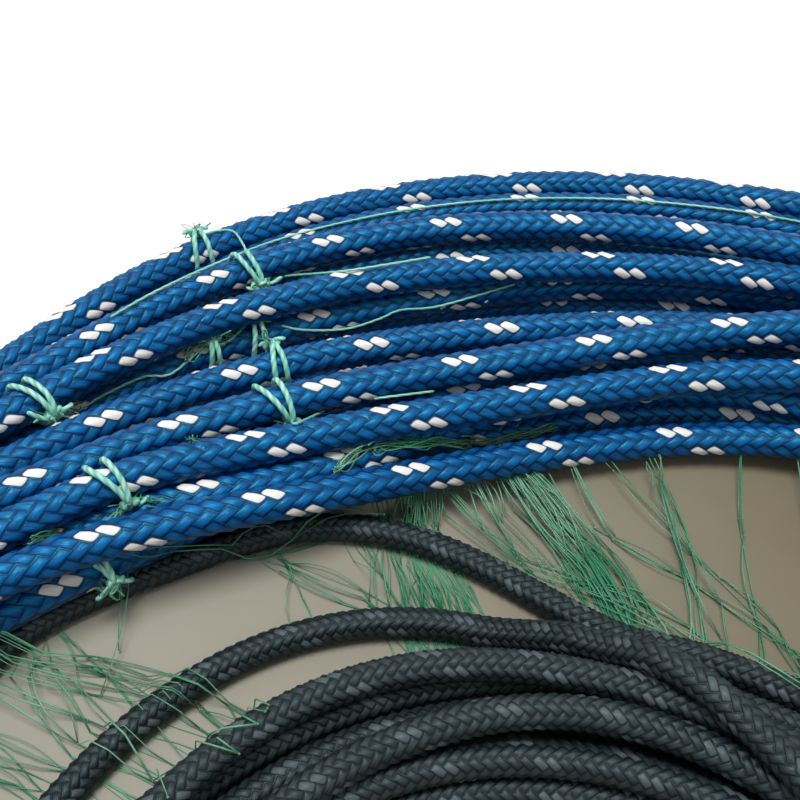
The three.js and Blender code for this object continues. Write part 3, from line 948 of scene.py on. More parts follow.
def tail(place, ahead, tangent, away_from, side):
    """A short end that leaves the knot to one side and bends back, kept off the floor."""
    reach = dice.uniform(*TAIL_LENGTH)
    bends = dice.uniform(-0.5, 0.5, 3)
    heading = side * ahead + bends[0] * tangent + 0.35 * away_from
    points = [
        place + side * 0.8 * ahead,
        place + reach * 0.5 * heading,
        place + reach * (heading + bends[1] * tangent - 0.3 * away_from),
    ]
    points = np.array(points)
    points[:, 2] = np.maximum(points[:, 2], 1.0)
    return smooth_curve(points, TWINE_STEP)


print("knots are about", round(3 * sum(KNOT_SIZE) * KNOT_SHAPE[0], 1), "mm long")

# %% [markdown]
# Now each tie is put together at its own place on its turn: two wraps, the knot and its two tails.

# %% Tie each tie
twines = []
for turn, angle, knot, gap, lean in TIES:
    middle, ahead, outward = float_middle(turn, angle)
    for side in (-1, 1):
        twines.append(twine_tube(wrap(middle, ahead, outward, knot, side, gap, lean), TWINE))
    section = np.radians(knot)
    away_from = math.cos(section) * outward + math.sin(section) * UP
    tangent = -math.sin(section) * outward + math.cos(section) * UP
    place = middle + (FLOAT_SKIN + KNOT_OUT) * away_from - lean * ahead
    twines.append(twine_tube(trefoil(place, (ahead, tangent, away_from)), TWINE, thin_ends=False))
    for side in (-1, 1):
        twines.append(twine_tube(tail(place, ahead, tangent, away_from, side), 0.85 * TWINE))
print(len(twines), "lengths of twine in the ties")

# %% [markdown]
# Between the ties the twine runs on in the grooves of the coil. Each run is a list of places on the
# turns: turn, ring angle and place round the section.

# %% Runs of twine
RUNS = [
    [("fifth", 124.6, 200), ("fifth", 123.2, 205), ("under_fifth", 122.4, 125), ("under_fifth", 120.4, 120),
     ("under_fifth", 118, 124), ("under_fifth", 116.5, 150), ("under_fifth", 114.2, 110)],
    [("under_fifth", 114.2, 100), ("under_fifth", 112.9, 122), ("under_fifth", 110.8, 75),
     ("under_fifth", 108.5, 150), ("under_fifth", 105.7, 190), ("under_fifth", 103.5, 175),
     ("under_fifth", 102.2, 157), ("under_fifth", 99.7, 164), ("under_fifth", 95, 120)],
    [("under_fifth", 99.7, 175), ("bottom_fourth", 97.1, 60)],
    [("under_fifth", 96.9, 173), ("bottom_fourth", 95.1, 40)],
    [("third", 111.2, 200), ("second", 111.3, 80), ("under_fourth", 107.4, 170), ("third", 105.6, 185),
     ("third", 102, 200)],
    [("sixth", 118.5, 95), ("sixth", 115.8, 80), ("sixth", 112.4, 62), ("rim", 108.2, 100),
     ("rim", 104, 110), ("rim", 99.3, 112), ("rim", 94, 112), ("rim", 88, 112), ("rim", 82, 110),
     ("rim", 77, 105)],
    [("outermost", 112.0, 70), ("outermost", 111.0, 88), ("outermost", 110.2, 120), ("sixth", 110.1, 70)],
    [("sixth", 110.0, 186), ("sixth", 108.2, 215), ("fifth", 105, 80), ("fifth", 100, 60)],
]
RUN_TWINE = 0.48 * TWINE  # one ply, drawn tight
RUN_OUT = 0.2 * TWINE
RUN_STEP = 0.9
for run in RUNS:
    curve = smooth_curve([on_float(*place, RUN_OUT) for place in run], RUN_STEP)
    twines.append(twine_tube(curve, RUN_TWINE, sides=6))
print(len(RUNS), "runs of twine")

# %% [markdown]
# Both ends of both lines are whipped with the same twine, as the end of a cut rope is, so that the
# braid doesn't come undone. A whipping is a close winding, and so its path is a helix round the
# rope's own. Where it would pass through the floor it is flattened, as a real one would be.

# %% Whip the ends
WHIPPING_TURNS = 7
WHIPPING_AT = 5.0  # from the end of a line
WHIPPING_POINTS = 24  # in each turn
WHIPPING_OUT = 0.56  # of the line's diameter
WHIPPING_TWINE = 0.7 * TWINE
LEAST_HEIGHT = 0.3 * TWINE
for path, thick in ((float_path, FLOAT_LINE), (lead_path, LEAD_LINE)):
    for points in (path / MM, path[::-1] / MM):
        along = np.linspace(WHIPPING_AT, WHIPPING_AT + WHIPPING_TURNS, WHIPPING_POINTS * WHIPPING_TURNS)
        middle = evenly_spaced(points, along)
        one, other = carried_frames(middle)
        turned = np.linspace(0, 2 * np.pi * WHIPPING_TURNS, len(middle))[:, None]
        whipping = middle + WHIPPING_OUT * thick * (np.cos(turned) * one + np.sin(turned) * other)
        whipping[:, 2] = np.maximum(whipping[:, 2], LEAST_HEIGHT)
        twines.append(twine_tube(whipping, WHIPPING_TWINE, sides=6))
ties = joined_piece("ties", twines)
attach(ties, "root")
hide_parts(*[f"tie_{number:02d}" for number in range(1, 17)])
print("ties and twine:", len(ties.data.polygons), "faces")

# %% [markdown]
# ## Netting
#
# The wall of netting is fine green monofilament, knotted in diamonds. Gathered like this it falls
# into wisps: many strands side by side, the diamonds pulled almost shut. A sheet with a pattern of
# diamonds would look flat from close by. A cloth simulation was not tried: it would have thousands
# of crossing strands to keep apart, and no one could say where the wisps would come to lie. So the
# strands are laid as tubes. They lie on the floor or over the lead line, and go flat where it lies
# on them. Two maps in 1 mm squares say how high its top is, and where it presses.

# %% What the netting lies on
FILAMENT = 0.3
GRID_HALF = 185  # the maps reach this far on each side of the ring's middle
LEAD_STEP = 0.8
PRESSED_BELOW = 6.0  # where the lead line's middle is lower than this, it holds the net to the floor
PRESSED_MARGIN = 4.0  # and as far as this on either side of it


def top_of(points, reach):
    """A map of heights over the floor in 1 mm squares, for a round cord along `points`."""
    heights = np.zeros((2 * GRID_HALF, 2 * GRID_HALF))
    steps = range(-int(reach), int(reach) + 1)
    for across in steps:
        for along in steps:
            x, y = points[:, 0] + across, points[:, 1] + along
            gap = reach**2 - (x.round() - points[:, 0]) ** 2 - (y.round() - points[:, 1]) ** 2
            cells = ((y.round() + GRID_HALF).astype(int), (x.round() + GRID_HALF).astype(int))
            np.maximum.at(heights, cells, np.where(gap > 0, points[:, 2] + np.sqrt(gap.clip(0)), 0))
    return heights


fine_lead = finely(lead_points, LEAD_STEP)
lead_top = top_of(fine_lead, LEAD_LINE / 2 + FILAMENT)
on_floor = fine_lead[fine_lead[:, 2] < PRESSED_BELOW]
pressed = top_of(on_floor, LEAD_LINE / 2 + PRESSED_MARGIN) > 0


def read_map(values, points):
    """What a map says at each of the points."""
    cells = (points[..., :2].round() + GRID_HALF).astype(int).clip(0, 2 * GRID_HALF - 1)
    return values[cells[..., 1], cells[..., 0]]


def laid_height(points, over):
    """Heights of netting, raised over the lead line or pressed flat under it."""
    raised = points[..., 2] + read_map(lead_top, points)
    flat = np.where(read_map(pressed, points), np.minimum(points[..., 2], FILAMENT / 2), points[..., 2])
    return np.where(over, raised, flat)


print("lead line's highest top:", round(lead_top.max(), 1), "mm")

# %% [markdown]
# A wisp is a middle line with strands spread about it, most of them near the middle. In each row
# neighbouring strands meet in knots, and from each knot they part to the strand on the other side,
# as in a real net. Near the float line a wisp rises to where it is tied.

# %% A wisp
ROW = 18.0  # length of one side of a mesh
GATHERED = 0.4  # spread of the strands, as a share of the wisp's width
SLIP = 3.5  # spread of a row's knots along the wisp
RISE_LENGTH = 16
BOW = 1.1  # spread of how far a side of a mesh bows out
dice = np.random.default_rng(23)
bars, knots = [], []  # (start, end, bow, lies over the lead line), and (place, lies over it)


def wisp(path, strands, start_width, end_width, lift, over=False, rise=0.0):
    """One gathered strip of net along a path on the floor, in millimetres."""
    flat = np.asarray(path, float)
    line = smooth_curve(np.insert(flat, 2, 0.0, axis=1), 1.0)
    length = len(line) - 1
    ahead = np.gradient(line, axis=0)
    aside = np.stack([-ahead[:, 1], ahead[:, 0], 0 * ahead[:, 0]], 1)
    places = np.sort(dice.normal(0, GATHERED, strands)).clip(-0.9, 0.9)
    layers = dice.uniform(0.15, 1, strands) * lift  # how high over the floor each strand lies
    rows = max(2, int(round(length / ROW)) + 1)
    offset = dice.uniform(-0.4, 0.4)  # of a row, so that wisps side by side don't match
    before = []
    for row in range(rows):
        at = (row + (offset if 0 < row < rows - 1 else 0)) / (rows - 1) * length
        nodes = []
        for strand in range(strands + 1):
            joined = [k for k in (2 * strand - row % 2, 2 * strand + 1 - row % 2) if 0 <= k < strands]
            if not joined:
                continue
            step = int(np.clip(at + dice.normal(0, SLIP), 0, length))
            width = start_width + (end_width - start_width) * step / length
            node = line[step] + aside[step] * width * (places[joined].mean() + dice.normal(0, 0.05))
            node[2] = FILAMENT / 2 + layers[joined].mean() * dice.uniform(0.2, 1)
            node[2] += rise * (1 - eased(step / RISE_LENGTH))
            nodes.append((joined, node))
            knots.append((node, over))
        for joined, node in nodes:
            for others, other in before:
                if set(joined) & set(others):
                    bars.append((other, node, dice.normal(0, BOW), over))
        before = nodes


print("meshes are", ROW, "mm along a side")

# %% [markdown]
# In front each wisp has its own row in the table: they run from under the float line across the
# lead line's second loop to the floor inside it.

# %% Wisps in front
FRONT_LIFT = 1.6
WISP_RISE = 5.0
FRONT_WISPS = [
    # path, strands, width at its start and end, lies over the lead line
    ([(-41, 168), (-43, 153), (-41, 144), (-38, 135), (-34, 120)], 40, 4, 12, False),
    ([(-38, 168), (-34, 155), (-26, 149), (-18, 145), (-8, 140), (6, 131), (22, 116)], 7, 2, 9, True),
    ([(-46, 167), (-40, 152), (-35, 142), (-32, 135), (-29, 120)], 22, 4, 10, False),
    ([(-22, 170), (-16, 160), (-10, 152), (-5, 143), (-3, 135), (-1, 120)], 40, 7, 9, False),
    ([(-31, 169), (-24, 155), (-16, 144), (-10, 133), (-6, 124)], 7, 3, 6, False),
    ([(-26, 171), (-14, 153), (-4, 138), (2, 122)], 14, 4, 8, False),
    ([(5, 175), (9, 160), (10, 149), (9, 135), (7, 120)], 6, 2, 5, False),
    ([(-5, 174), (8, 155), (15, 143), (22, 135), (27, 120)], 3, 2, 4, False),
    ([(-11, 173), (-7, 160), (-1, 151), (6, 146), (15, 142), (25, 132), (32, 116)], 4, 2, 5, False),
    ([(8, 156), (12, 147), (14, 136), (14, 122)], 3, 1, 3, False),
    ([(27, 179), (23, 161), (22, 146), (21, 135), (18, 118)], 2, 1.5, 2, False),
    ([(28, 178), (37, 172), (47, 163), (62, 152), (74, 138)], 2, 1, 3, False),
    ([(-78, 156), (-71, 150), (-58, 144), (-48, 138), (-38, 128)], 6, 3, 8, False),
    ([(-58, 160), (-53, 146), (-47, 138), (-41, 126)], 5, 3, 5, False),
    ([(-50, 162), (-46, 145), (-41, 135), (-38, 122)], 6, 4, 6, False),
    ([(-71, 155), (-67, 148), (-64, 140), (-61, 128)], 2, 2, 2, False),
    ([(-84, 149), (-74, 149), (-65, 152), (-52, 158)], 3, 2, 3, False),
    ([(-96, 143), (-91, 142.5), (-83, 147), (-72, 149), (-58, 152), (-48, 155)], 2, 1, 1, True),
    ([(-95, 144), (-95.5, 138), (-95.5, 131), (-97, 120)], 2, 0.8, 1.4, True),
]
for path, strands, start_width, end_width, over in FRONT_WISPS:
    wisp(path, strands, start_width, end_width, FRONT_LIFT, over, WISP_RISE)
print(len(FRONT_WISPS), "wisps in front:", len(bars), "sides of meshes,", len(knots), "knots")

# %% [markdown]
# Round the rest of the ring wisps run in from under the float line to the rounds of the lead line,
# each leaning a little. They are too many for a table, so a seeded random generator draws them, the
# same ones in each run. They stand highest where more netting lies heaped.

# %% Wisps round the ring
HEAPS = [
    # ring angle, half width, height
    (300, 75, 9),
    (215, 50, 5),
    (20, 55, 6),
]
FRONT_RANGE = (80, 130)
WISP_SPACING = 7.0  # degrees
WISP_START = 6.0  # under the float line
WISP_LIFT = 1.5
PATH_POINTS = 5
order = np.argsort(angles % 360)


def ring_point(angle, radius):
    """A place on the floor at a ring angle and radius."""
    return np.array([math.cos(math.radians(angle)), math.sin(math.radians(angle))]) * radius


def inner_foot(angle):
    """Ring radius of the float line's inner edge."""
    middle = min(np.interp(angle % 360, angles[order] % 360, row[order], period=360) for row in turn_radius)
    return middle - FLOAT_LINE / 2


def heap_height(angle):
    """How high the netting is heaped at a ring angle."""
    return max(height * float(swell(np.array(angle), at, half)) for at, half, height in HEAPS)


angle = FRONT_RANGE[1]
while angle < FRONT_RANGE[0] + 360:
    start = ring_point(angle, inner_foot(angle) + WISP_START)
    to_middle = LEAD_MIDDLE - start
    far = np.linalg.norm(to_middle)
    heading = to_middle / far
    across = np.array([-heading[1], heading[0]])
    reach = far - LEAD_RADIUS - dice.uniform(2, 12)
    lean, curl = dice.uniform(-0.1, 0.45), dice.uniform(-0.14, 0.14)
    steps = np.linspace(0, 1, PATH_POINTS)[:, None]
    path = start + steps * reach * (heading + lean * across)
    path = path + across * curl * reach * np.sin(np.pi * steps)
    lift = WISP_LIFT + heap_height(angle)
    strands = int(dice.integers(5, 16))
    widths = dice.uniform(4, 9), dice.uniform(8, 18)
    wisp(path, strands, *widths, lift, bool(dice.random() < 0.3), WISP_RISE)
    angle += WISP_SPACING * dice.uniform(0.6, 1.4)
print("so far:", len(bars), "sides of meshes,", len(knots), "knots")

# %% [markdown]
# Where there is more room between the lines, more wisps run round the ring and lie on each other.

# %% Heaps
WISPS_IN_HEAP = 7
HEAP_POINTS = 9
ROUNDS_HALF = 20  # half the width of the lead line's rounds
FOOT_GAP = 2  # between a heap and the float line's inner edge
for at, half, height in HEAPS:
    for number in range(WISPS_IN_HEAP):
        low, high = at - half * dice.uniform(0.5, 1), at + half * dice.uniform(0.5, 1)
        share = dice.uniform(0.1, 0.9)
        path = []
        for angle in np.linspace(low, high, HEAP_POINTS):
            foot = ring_point(angle, inner_foot(angle) - FOOT_GAP)
            away_from = foot - LEAD_MIDDLE
            far = np.linalg.norm(away_from)
            inner = LEAD_RADIUS + ROUNDS_HALF
            part = np.clip(share + 0.22 * math.sin(math.radians(3 * angle + 70 * number)), 0.03, 0.97)
            path.append(LEAD_MIDDLE + away_from / far * (inner + (far - inner) * part))
        wisp(path, int(dice.integers(8, 15)), dice.uniform(6, 10), dice.uniform(10, 20), height)
print("in all:", len(bars), "sides of meshes,", len(knots), "knots")

# %% [markdown]
# Netting is also caught between the turns: loose tangles that follow the grooves. A strand of one is
# the groove's own line with a few waves added, of sizes and starts drawn for it.

# %% Tangles in the grooves
STRAND_POINTS = 26
TANGLE_OUT = 0.3  # off the rope's skin
WAVES = (3, 6, 9, 14)  # radians along a strand
WAVE_SIZE = 0.6
STRAND_SHARE = 0.97  # of the groove's line
TANGLES = [
    # strands, how far they stray, and places on the turns
    (12, 0.9, [("second", 117.5, 70), ("under_fourth", 115.6, 190), ("under_fourth", 112.5, 185)]),
    (12, 0.8, [("innermost", 110, 60), ("under_first", 107.5, 105), ("under_first", 103.4, 150)]),
    (16, 0.9, [("under_first", 107, 115), ("under_first", 103, 150), ("bottom_inner", 99.5, 140)]),
    (12, 0.8, [("bottom_inner", 101, 140), ("bottom_inner", 97.9, 150), ("bottom_inner", 93.5, 135)]),
    (10, 1.2, [("under_fifth", 115.6, 120), ("under_fifth", 113.6, 100), ("under_fifth", 111.5, 95)]),
    (4, 0.8, [("fifth", 123.6, 190), ("under_fifth", 122.4, 110), ("under_fifth", 121, 120)]),
    (5, 0.7, [("innermost", 128, 60), ("under_second", 124, 160), ("innermost", 120, 60)]),
    (5, 0.8, [("third", 240, 60), ("fourth", 232, 150), ("third", 224, 70)]),
    (6, 0.9, [("innermost", 330, 40), ("second", 322, 160), ("innermost", 312, 50)]),
    (5, 0.8, [("fifth", 30, 60), ("sixth", 20, 150), ("fifth", 8, 70)]),
    (5, 0.8, [("second", 170, 60), ("third", 162, 150), ("second", 154, 70)]),
]
tangled = []
for strands, stray, run in TANGLES:
    places = np.array([on_float(*place, TANGLE_OUT) for place in run]) - CENTRE_MM
    line = smooth_curve(places, length_of(places) / (STRAND_POINTS - 1.5))[:STRAND_POINTS]
    for _ in range(strands):
        wobble = dice.normal(0, stray, (len(WAVES), 3))
        starts = dice.uniform(0, 6, len(WAVES))
        waves = np.sin(np.outer(np.linspace(0, 1, len(line)), WAVES) + starts)
        along = np.linspace(0, length_of(line) * STRAND_SHARE, STRAND_POINTS)
        tangled.append(evenly_spaced(line + WAVE_SIZE * waves @ wobble, along))
print(len(tangled), "strands in", len(TANGLES), "tangles")

# %% [markdown]
# At each tie some filament is caught in the knot. Each curl there is the sum of three waves in
# directions of its own.

# %% Curls at the ties
CURLS = 4  # at each tie
CURL_SIZE = (0.6, 1.1)
LEAST_CURL_HEIGHT = 0.8
MM_PER_DEGREE = 3.5
for turn, angle, knot, _, lean in TIES:
    centre = on_float(turn, angle - lean / MM_PER_DEGREE, knot, KNOT_OUT) - CENTRE_MM
    for _ in range(CURLS):
        t = np.linspace(0, 2.5 * np.pi, STRAND_POINTS)[:, None]
        one, other, third = dice.normal(0, 1, (3, 3))
        curl = 1.9 * np.sin(t + dice.uniform(0, 6)) * one + 1.4 * np.sin(1.6 * t) * other
        curl = (curl + 0.5 * np.sin(3 * t) * third) * dice.uniform(*CURL_SIZE)
        curl[:, 2] = np.maximum(curl[:, 2], LEAST_CURL_HEIGHT - centre[2])
        tangled.append(centre + curl)
tangled = np.array(tangled)
print(len(tangled), "loose strands")

# %% [markdown]
# There are thousands of filaments, and tubes made one by one would be slow. All the sides of all the
# meshes have the same number of points, so their tubes are made together in a few array operations.
# At 0.3 mm three sides to a tube are enough. Knots are small beads of eight faces.

# %% Tubes for filaments
FILAMENT_RANGE = (0.55, 1.3)  # some are finer than others
ASKEW = np.array([0.31, 0.17, 0.93])  # a direction that no filament runs in
SIDES = 3


def thin_tubes(lines, diameter):
    """Tubes along many lines of equal numbers of points."""
    count, rings, _ = lines.shape
    diameter = (diameter * dice.uniform(*FILAMENT_RANGE, count))[:, None, None, None]
    ahead = np.gradient(lines, axis=1)
    ahead /= np.linalg.norm(ahead, axis=2, keepdims=True) + 1e-9
    one = np.cross(ahead, ASKEW)
    one /= np.linalg.norm(one, axis=2, keepdims=True) + 1e-9
    other = np.cross(ahead, one)
    turned = 2 * np.pi * np.arange(SIDES) / SIDES
    spokes = np.cos(turned)[:, None] * one[:, :, None] + np.sin(turned)[:, None] * other[:, :, None]
    surface = lines[:, :, None] + diameter / 2 * spokes
    numbers = np.meshgrid(range(count), range(rings - 1), range(SIDES), indexing="ij")
    tube, ring, side = (number.ravel() for number in numbers)
    here = (tube * rings + ring) * SIDES + side
    beside = (tube * rings + ring) * SIDES + (side + 1) % SIDES
    ahead, beyond = here + SIDES, beside + SIDES
    faces = [np.stack([here, beside, beyond], 1), np.stack([here, beyond, ahead], 1)]
    first = np.arange(count) * rings * SIDES
    last = first + (rings - 1) * SIDES
    caps = [np.stack([first, first + 2, first + 1], 1), np.stack([last, last + 1, last + 2], 1)]
    return surface.reshape(-1, 3), np.concatenate([*faces, *caps])


def beads(places, size):
    """Octahedra at many places."""
    corners = np.array([(1, 0, 0), (0, 1, 0), (-1, 0, 0), (0, -1, 0), (0, 0, 1), (0, 0, -1)], float)
    sides = [(0, 1, 4), (1, 2, 4), (2, 3, 4), (3, 0, 4), (1, 0, 5), (2, 1, 5), (3, 2, 5), (0, 3, 5)]
    surface = places[:, None] + corners * size
    faces = np.array(sides)[None] + 6 * np.arange(len(places))[:, None, None]
    return surface.reshape(-1, 3), faces.reshape(-1, 3)


print("filaments are", [round(FILAMENT * share, 2) for share in FILAMENT_RANGE], "mm thick")

# %% [markdown]
# Each side of a mesh is bowed a little, to one side and upward, and then laid on the floor, over the
# lead line or flat under it. Sides and knots are two pieces, or one would be too large.

# %% Netting as a mesh
BAR_POINTS = 6
BOW_UP = 0.6  # of the bow to one side
KNOT_BEAD = 0.9 * FILAMENT
start, end = (np.array([bar[k] for bar in bars]) for k in (0, 1))
bow, over = np.array([bar[2] for bar in bars]), np.array([bar[3] for bar in bars])
t = np.linspace(0, 1, BAR_POINTS)[None, :, None]
lines = start[:, None] + t * (end - start)[:, None]
aside = np.cross(end - start, [0.0, 0.0, 1.0])
aside /= np.linalg.norm(aside, axis=1, keepdims=True) + 1e-9
lines += (bow[:, None] * aside)[:, None] * np.sin(np.pi * t)
lines[..., 2] += BOW_UP * abs(bow)[:, None] * np.sin(np.pi * t[..., 0])
lines[..., 2] = laid_height(lines, over[:, None])
knot_places = np.array([place for place, _ in knots])
knot_places[:, 2] = laid_height(knot_places, np.array([over for _, over in knots]))
made = {
    "gathered_netting": [thin_tubes(lines, FILAMENT)],
    "netting_knots": [thin_tubes(tangled, FILAMENT), beads(knot_places, KNOT_BEAD)],
}
nets = []
for name, parts in made.items():
    net = joined_piece(name, [(points + CENTRE_MM, faces) for points, faces in parts])
    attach(net, "root")
    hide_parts("netting")
    nets.append(net)
    print(name, len(net.data.polygons), "faces")

# %% [markdown]
# ## Finishes
#
# Each finish is a Principled shader fed by procedural nodes. They could be placed by hand in the
# shader editor, but the braid takes more than seventy. This small helper makes nodes one at a
# time and joins them as it goes, so that a pattern reads like a sum. A number given where a socket
# could be is set on the node itself.


# %% Node helper
class Finish:
    """A new material and short ways to add nodes to it."""

    def __init__(self, name):
        self.material = bpy.data.materials.new(name)
        self.material.use_nodes = True
        self.tree = self.material.node_tree
        self.shader = self.tree.nodes["Principled BSDF"]

    def join(self, value, socket):
        if isinstance(value, bpy.types.NodeSocket):
            self.tree.links.new(value, socket)
        else:
            socket.default_value = value

    def math(self, kind, *values):
        node = self.tree.nodes.new("ShaderNodeMath")
        node.operation = kind
        for value, socket in zip(values, node.inputs):
            self.join(value, socket)
        return node.outputs[0]

    def plus(self, one, other):
        return self.math("ADD", one, other)

    def minus(self, one, other):
        return self.math("SUBTRACT", one, other)

    def times(self, one, other):
        return self.math("MULTIPLY", one, other)

    def blend(self, share, one, other):
        node = self.tree.nodes.new("ShaderNodeMix")
        node.data_type = "RGBA"
        for value, socket in ((share, node.inputs[0]), (one, node.inputs[6]), (other, node.inputs[7])):
            self.join(value, socket)
        return node.outputs[2]

    def span(self, value, low, high, new_low=0.0, new_high=1.0):
        node = self.tree.nodes.new("ShaderNodeMapRange")
        for number, socket in zip((value, low, high, new_low, new_high), node.inputs):
            self.join(number, socket)
        return node.outputs[0]

    def vector(self, x, y, z=0.0):
        node = self.tree.nodes.new("ShaderNodeCombineXYZ")
        for value, socket in zip((x, y, z), node.inputs):
            self.join(value, socket)
        return node.outputs[0]

    def parts(self, vector):
        node = self.tree.nodes.new("ShaderNodeSeparateXYZ")
        self.join(vector, node.inputs[0])
        return node.outputs

    def map_named(self, name):
        node = self.tree.nodes.new("ShaderNodeUVMap")
        node.uv_map = name
        return node.outputs[0]

    def place(self):
        return self.tree.nodes.new("ShaderNodeTexCoord").outputs["Object"]

    def noise(self, vector, scale, detail=2.0):
        node = self.tree.nodes.new("ShaderNodeTexNoise")
        self.join(vector, node.inputs["Vector"])
        node.inputs["Scale"].default_value = scale
        node.inputs["Detail"].default_value = detail
        return node.outputs[0]

    def chance(self, vector):
        node = self.tree.nodes.new("ShaderNodeTexWhiteNoise")
        node.noise_dimensions = "3D"
        self.join(vector, node.inputs["Vector"])
        return node.outputs[0]

    def raise_by(self, height, distance, strength=1.0):
        node = self.tree.nodes.new("ShaderNodeBump")
        node.inputs["Strength"].default_value = strength
        node.inputs["Distance"].default_value = distance
        self.join(height, node.inputs["Height"])
        self.join(node.outputs[0], self.shader.inputs["Normal"])

    def give(self, *pieces):
        for piece in pieces:
            piece.data.materials.clear()
            piece.data.materials.append(self.material)

    def report(self):
        print(self.material.name, "has", len(self.tree.nodes), "nodes")


print("maps that a finish can read:", [layer.name for layer in float_pieces[0].data.uv_layers])

# %% [markdown]
# The braid's finish repeats the mesh's own sum in nodes, so its grooves, yarns and tracer flecks
# lie exactly on the modelled ones. A yarn falls off a little faster here, which darkens its ends:
# this is painted shade where a yarn goes under the next.


# %% Braid in nodes
# steeper than YARN_FALL, so that the colour paints shade on the ends of the yarns
SHADED_FALL = 1.25  # stands for YARN_FALL


def braid_nodes(f):
    """What the braid is at each point of the surface, as sockets."""
    u, v, _ = f.parts(f.map_named("weave"))
    a = f.times(f.minus(u, v), YARNS)
    b = f.times(f.plus(u, v), YARNS)
    left, right = f.math("FLOOR", a), f.math("FLOOR", b)
    rest_a = f.minus(f.minus(a, left), 0.5)
    rest_b = f.minus(f.minus(b, right), 0.5)
    count = f.plus(left, right)
    step = f.math("FLOORED_MODULO", count, 4.0)
    is_a = f.math("LESS_THAN", step, 1.5)
    difference = f.times(is_a, f.minus(rest_a, rest_b))
    across = f.plus(rest_b, difference)
    odd = f.minus(f.math("FLOORED_MODULO", step, 2.0), 0.5)
    length = f.plus(f.minus(rest_a, difference), odd)
    round_across = f.minus(1.0, f.times(f.times(across, across), 4.0))
    round_along = f.minus(1.0, f.times(f.times(length, length), SHADED_FALL))
    height = f.math("SQRT", f.math("MAXIMUM", f.times(round_across, round_along), 0.0))
    yarn = f.plus(right, f.times(is_a, f.minus(f.plus(left, 0.37), right)))
    return left, count, is_a, across, length, height, yarn


trial = Finish("trial")
print("the braid gives", len(braid_nodes(trial)), "sockets from", len(trial.tree.nodes) - 2, "nodes")
bpy.data.materials.remove(trial.material)

# %% [markdown]
# On the real rope each yarn is a bundle of shiny filaments. Noise drawn out along a yarn shows them,
# and each pick, the stretch of a yarn that shows between two others, is a little lighter or darker
# than the next. Of the eight yarns that run one way, two neighbours are tracers, and their picks
# take the tracer's colour.


# %% Braid finish
STREAKS = 9.0  # filaments across a yarn
STREAK_SLANT = 1.2
STREAK_LENGTH = 0.9
PICK_SHIFT = 40.0  # moves the noise from pick to pick
PICK_TONE = 0.35
FILAMENT_TONE = 0.25
WEAR_SCALE = 55.0
WEAR_TONE = 0.12
FILAMENT_BUMP = 0.35 * MM


def braid_finish(name, groove, crown, tracer, tracer_share, roughness, sheen, glint):
    """tracer_share is how much of each tracer pick takes its colour; sheen tints what glints."""
    f = Finish(name)
    f.shader.inputs["Specular Tint"].default_value = sheen
    f.shader.inputs["Specular IOR Level"].default_value = glint
    left, count, is_a, across, length, height, yarn = braid_nodes(f)
    pick = f.chance(f.vector(yarn, f.math("FLOOR", f.math("DIVIDE", f.plus(count, 0.5), 4.0)), 0.0))
    slant = f.plus(f.times(across, STREAKS), f.times(length, STREAK_SLANT))
    filaments = f.noise(f.vector(slant, f.times(length, STREAK_LENGTH), f.times(pick, PICK_SHIFT)), 1.0)
    white_yarn = f.math("LESS_THAN", f.math("FLOORED_MODULO", f.plus(left, 0.5), 8.0), 2.0)
    is_tracer = f.times(f.times(white_yarn, is_a), tracer_share)
    wear = f.noise(f.place(), WEAR_SCALE, 3.0)
    tone = f.plus(f.times(pick, PICK_TONE), f.span(filaments, 0.3, 0.7, -FILAMENT_TONE, FILAMENT_TONE))
    tone = f.plus(f.plus(tone, 0.55), f.span(wear, 0.3, 0.7, -WEAR_TONE, WEAR_TONE))
    # painted shade: groove colour where the braid is low, crown colour where it is high
    plain = f.blend(f.times(f.span(height, 0.2, 0.95), tone), groove, crown)
    worn = f.blend(f.span(filaments, 0.35, 0.75, 0.0, 0.45), tracer, [0.7 * c for c in tracer[:3]] + [1])
    # painted shade on the tracer flecks too: they go to the groove colour towards their edges
    shaded_tracer_pick = f.blend(f.span(height, 0.28, 0.5), groove, worn)
    f.join(f.blend(is_tracer, plain, shaded_tracer_pick), f.shader.inputs["Base Color"])
    f.join(f.span(filaments, 0.2, 0.8, roughness - 0.1, roughness + 0.12), f.shader.inputs["Roughness"])
    f.raise_by(f.plus(height, f.times(filaments, 0.35)), FILAMENT_BUMP, 0.8)
    return f


print("streaks across a yarn:", STREAKS)

# %% [markdown]
# The float line is royal blue with white tracers, and its grooves are painted nearly black as painted
# shade. Its gloss is tinted blue as well, because the filaments are dyed right through and shine with
# their own colour.

# %% Float line's finish
float_finish = braid_finish(
    "blue braided rope",
    # painted shade in the grooves between the yarns
    groove=(0.001, 0.016, 0.088, 1),
    crown=(0.003, 0.118, 0.365, 1),
    tracer=(0.84, 0.80, 0.76, 1),
    tracer_share=0.97,
    roughness=0.36,
    sheen=(0.15, 0.75, 0.95, 1),
    glint=0.6,
)
float_finish.give(*float_pieces)
float_finish.report()

# %% [markdown]
# The lead line is near black, painted darker still in its grooves as painted shade. Its tracers are
# only a little paler, so that the braid just shows.

# %% Lead line's finish
lead_finish = braid_finish(
    "black braided line",
    # painted shade in the grooves between the yarns
    groove=(0.002, 0.003, 0.004, 1),
    crown=(0.016, 0.028, 0.030, 1),
    tracer=(0.085, 0.11, 0.12, 1),
    tracer_share=0.6,
    roughness=0.48,
    sheen=(0.75, 0.95, 1, 1),
    glint=0.4,
)
lead_finish.give(*lead_pieces)
lead_finish.report()
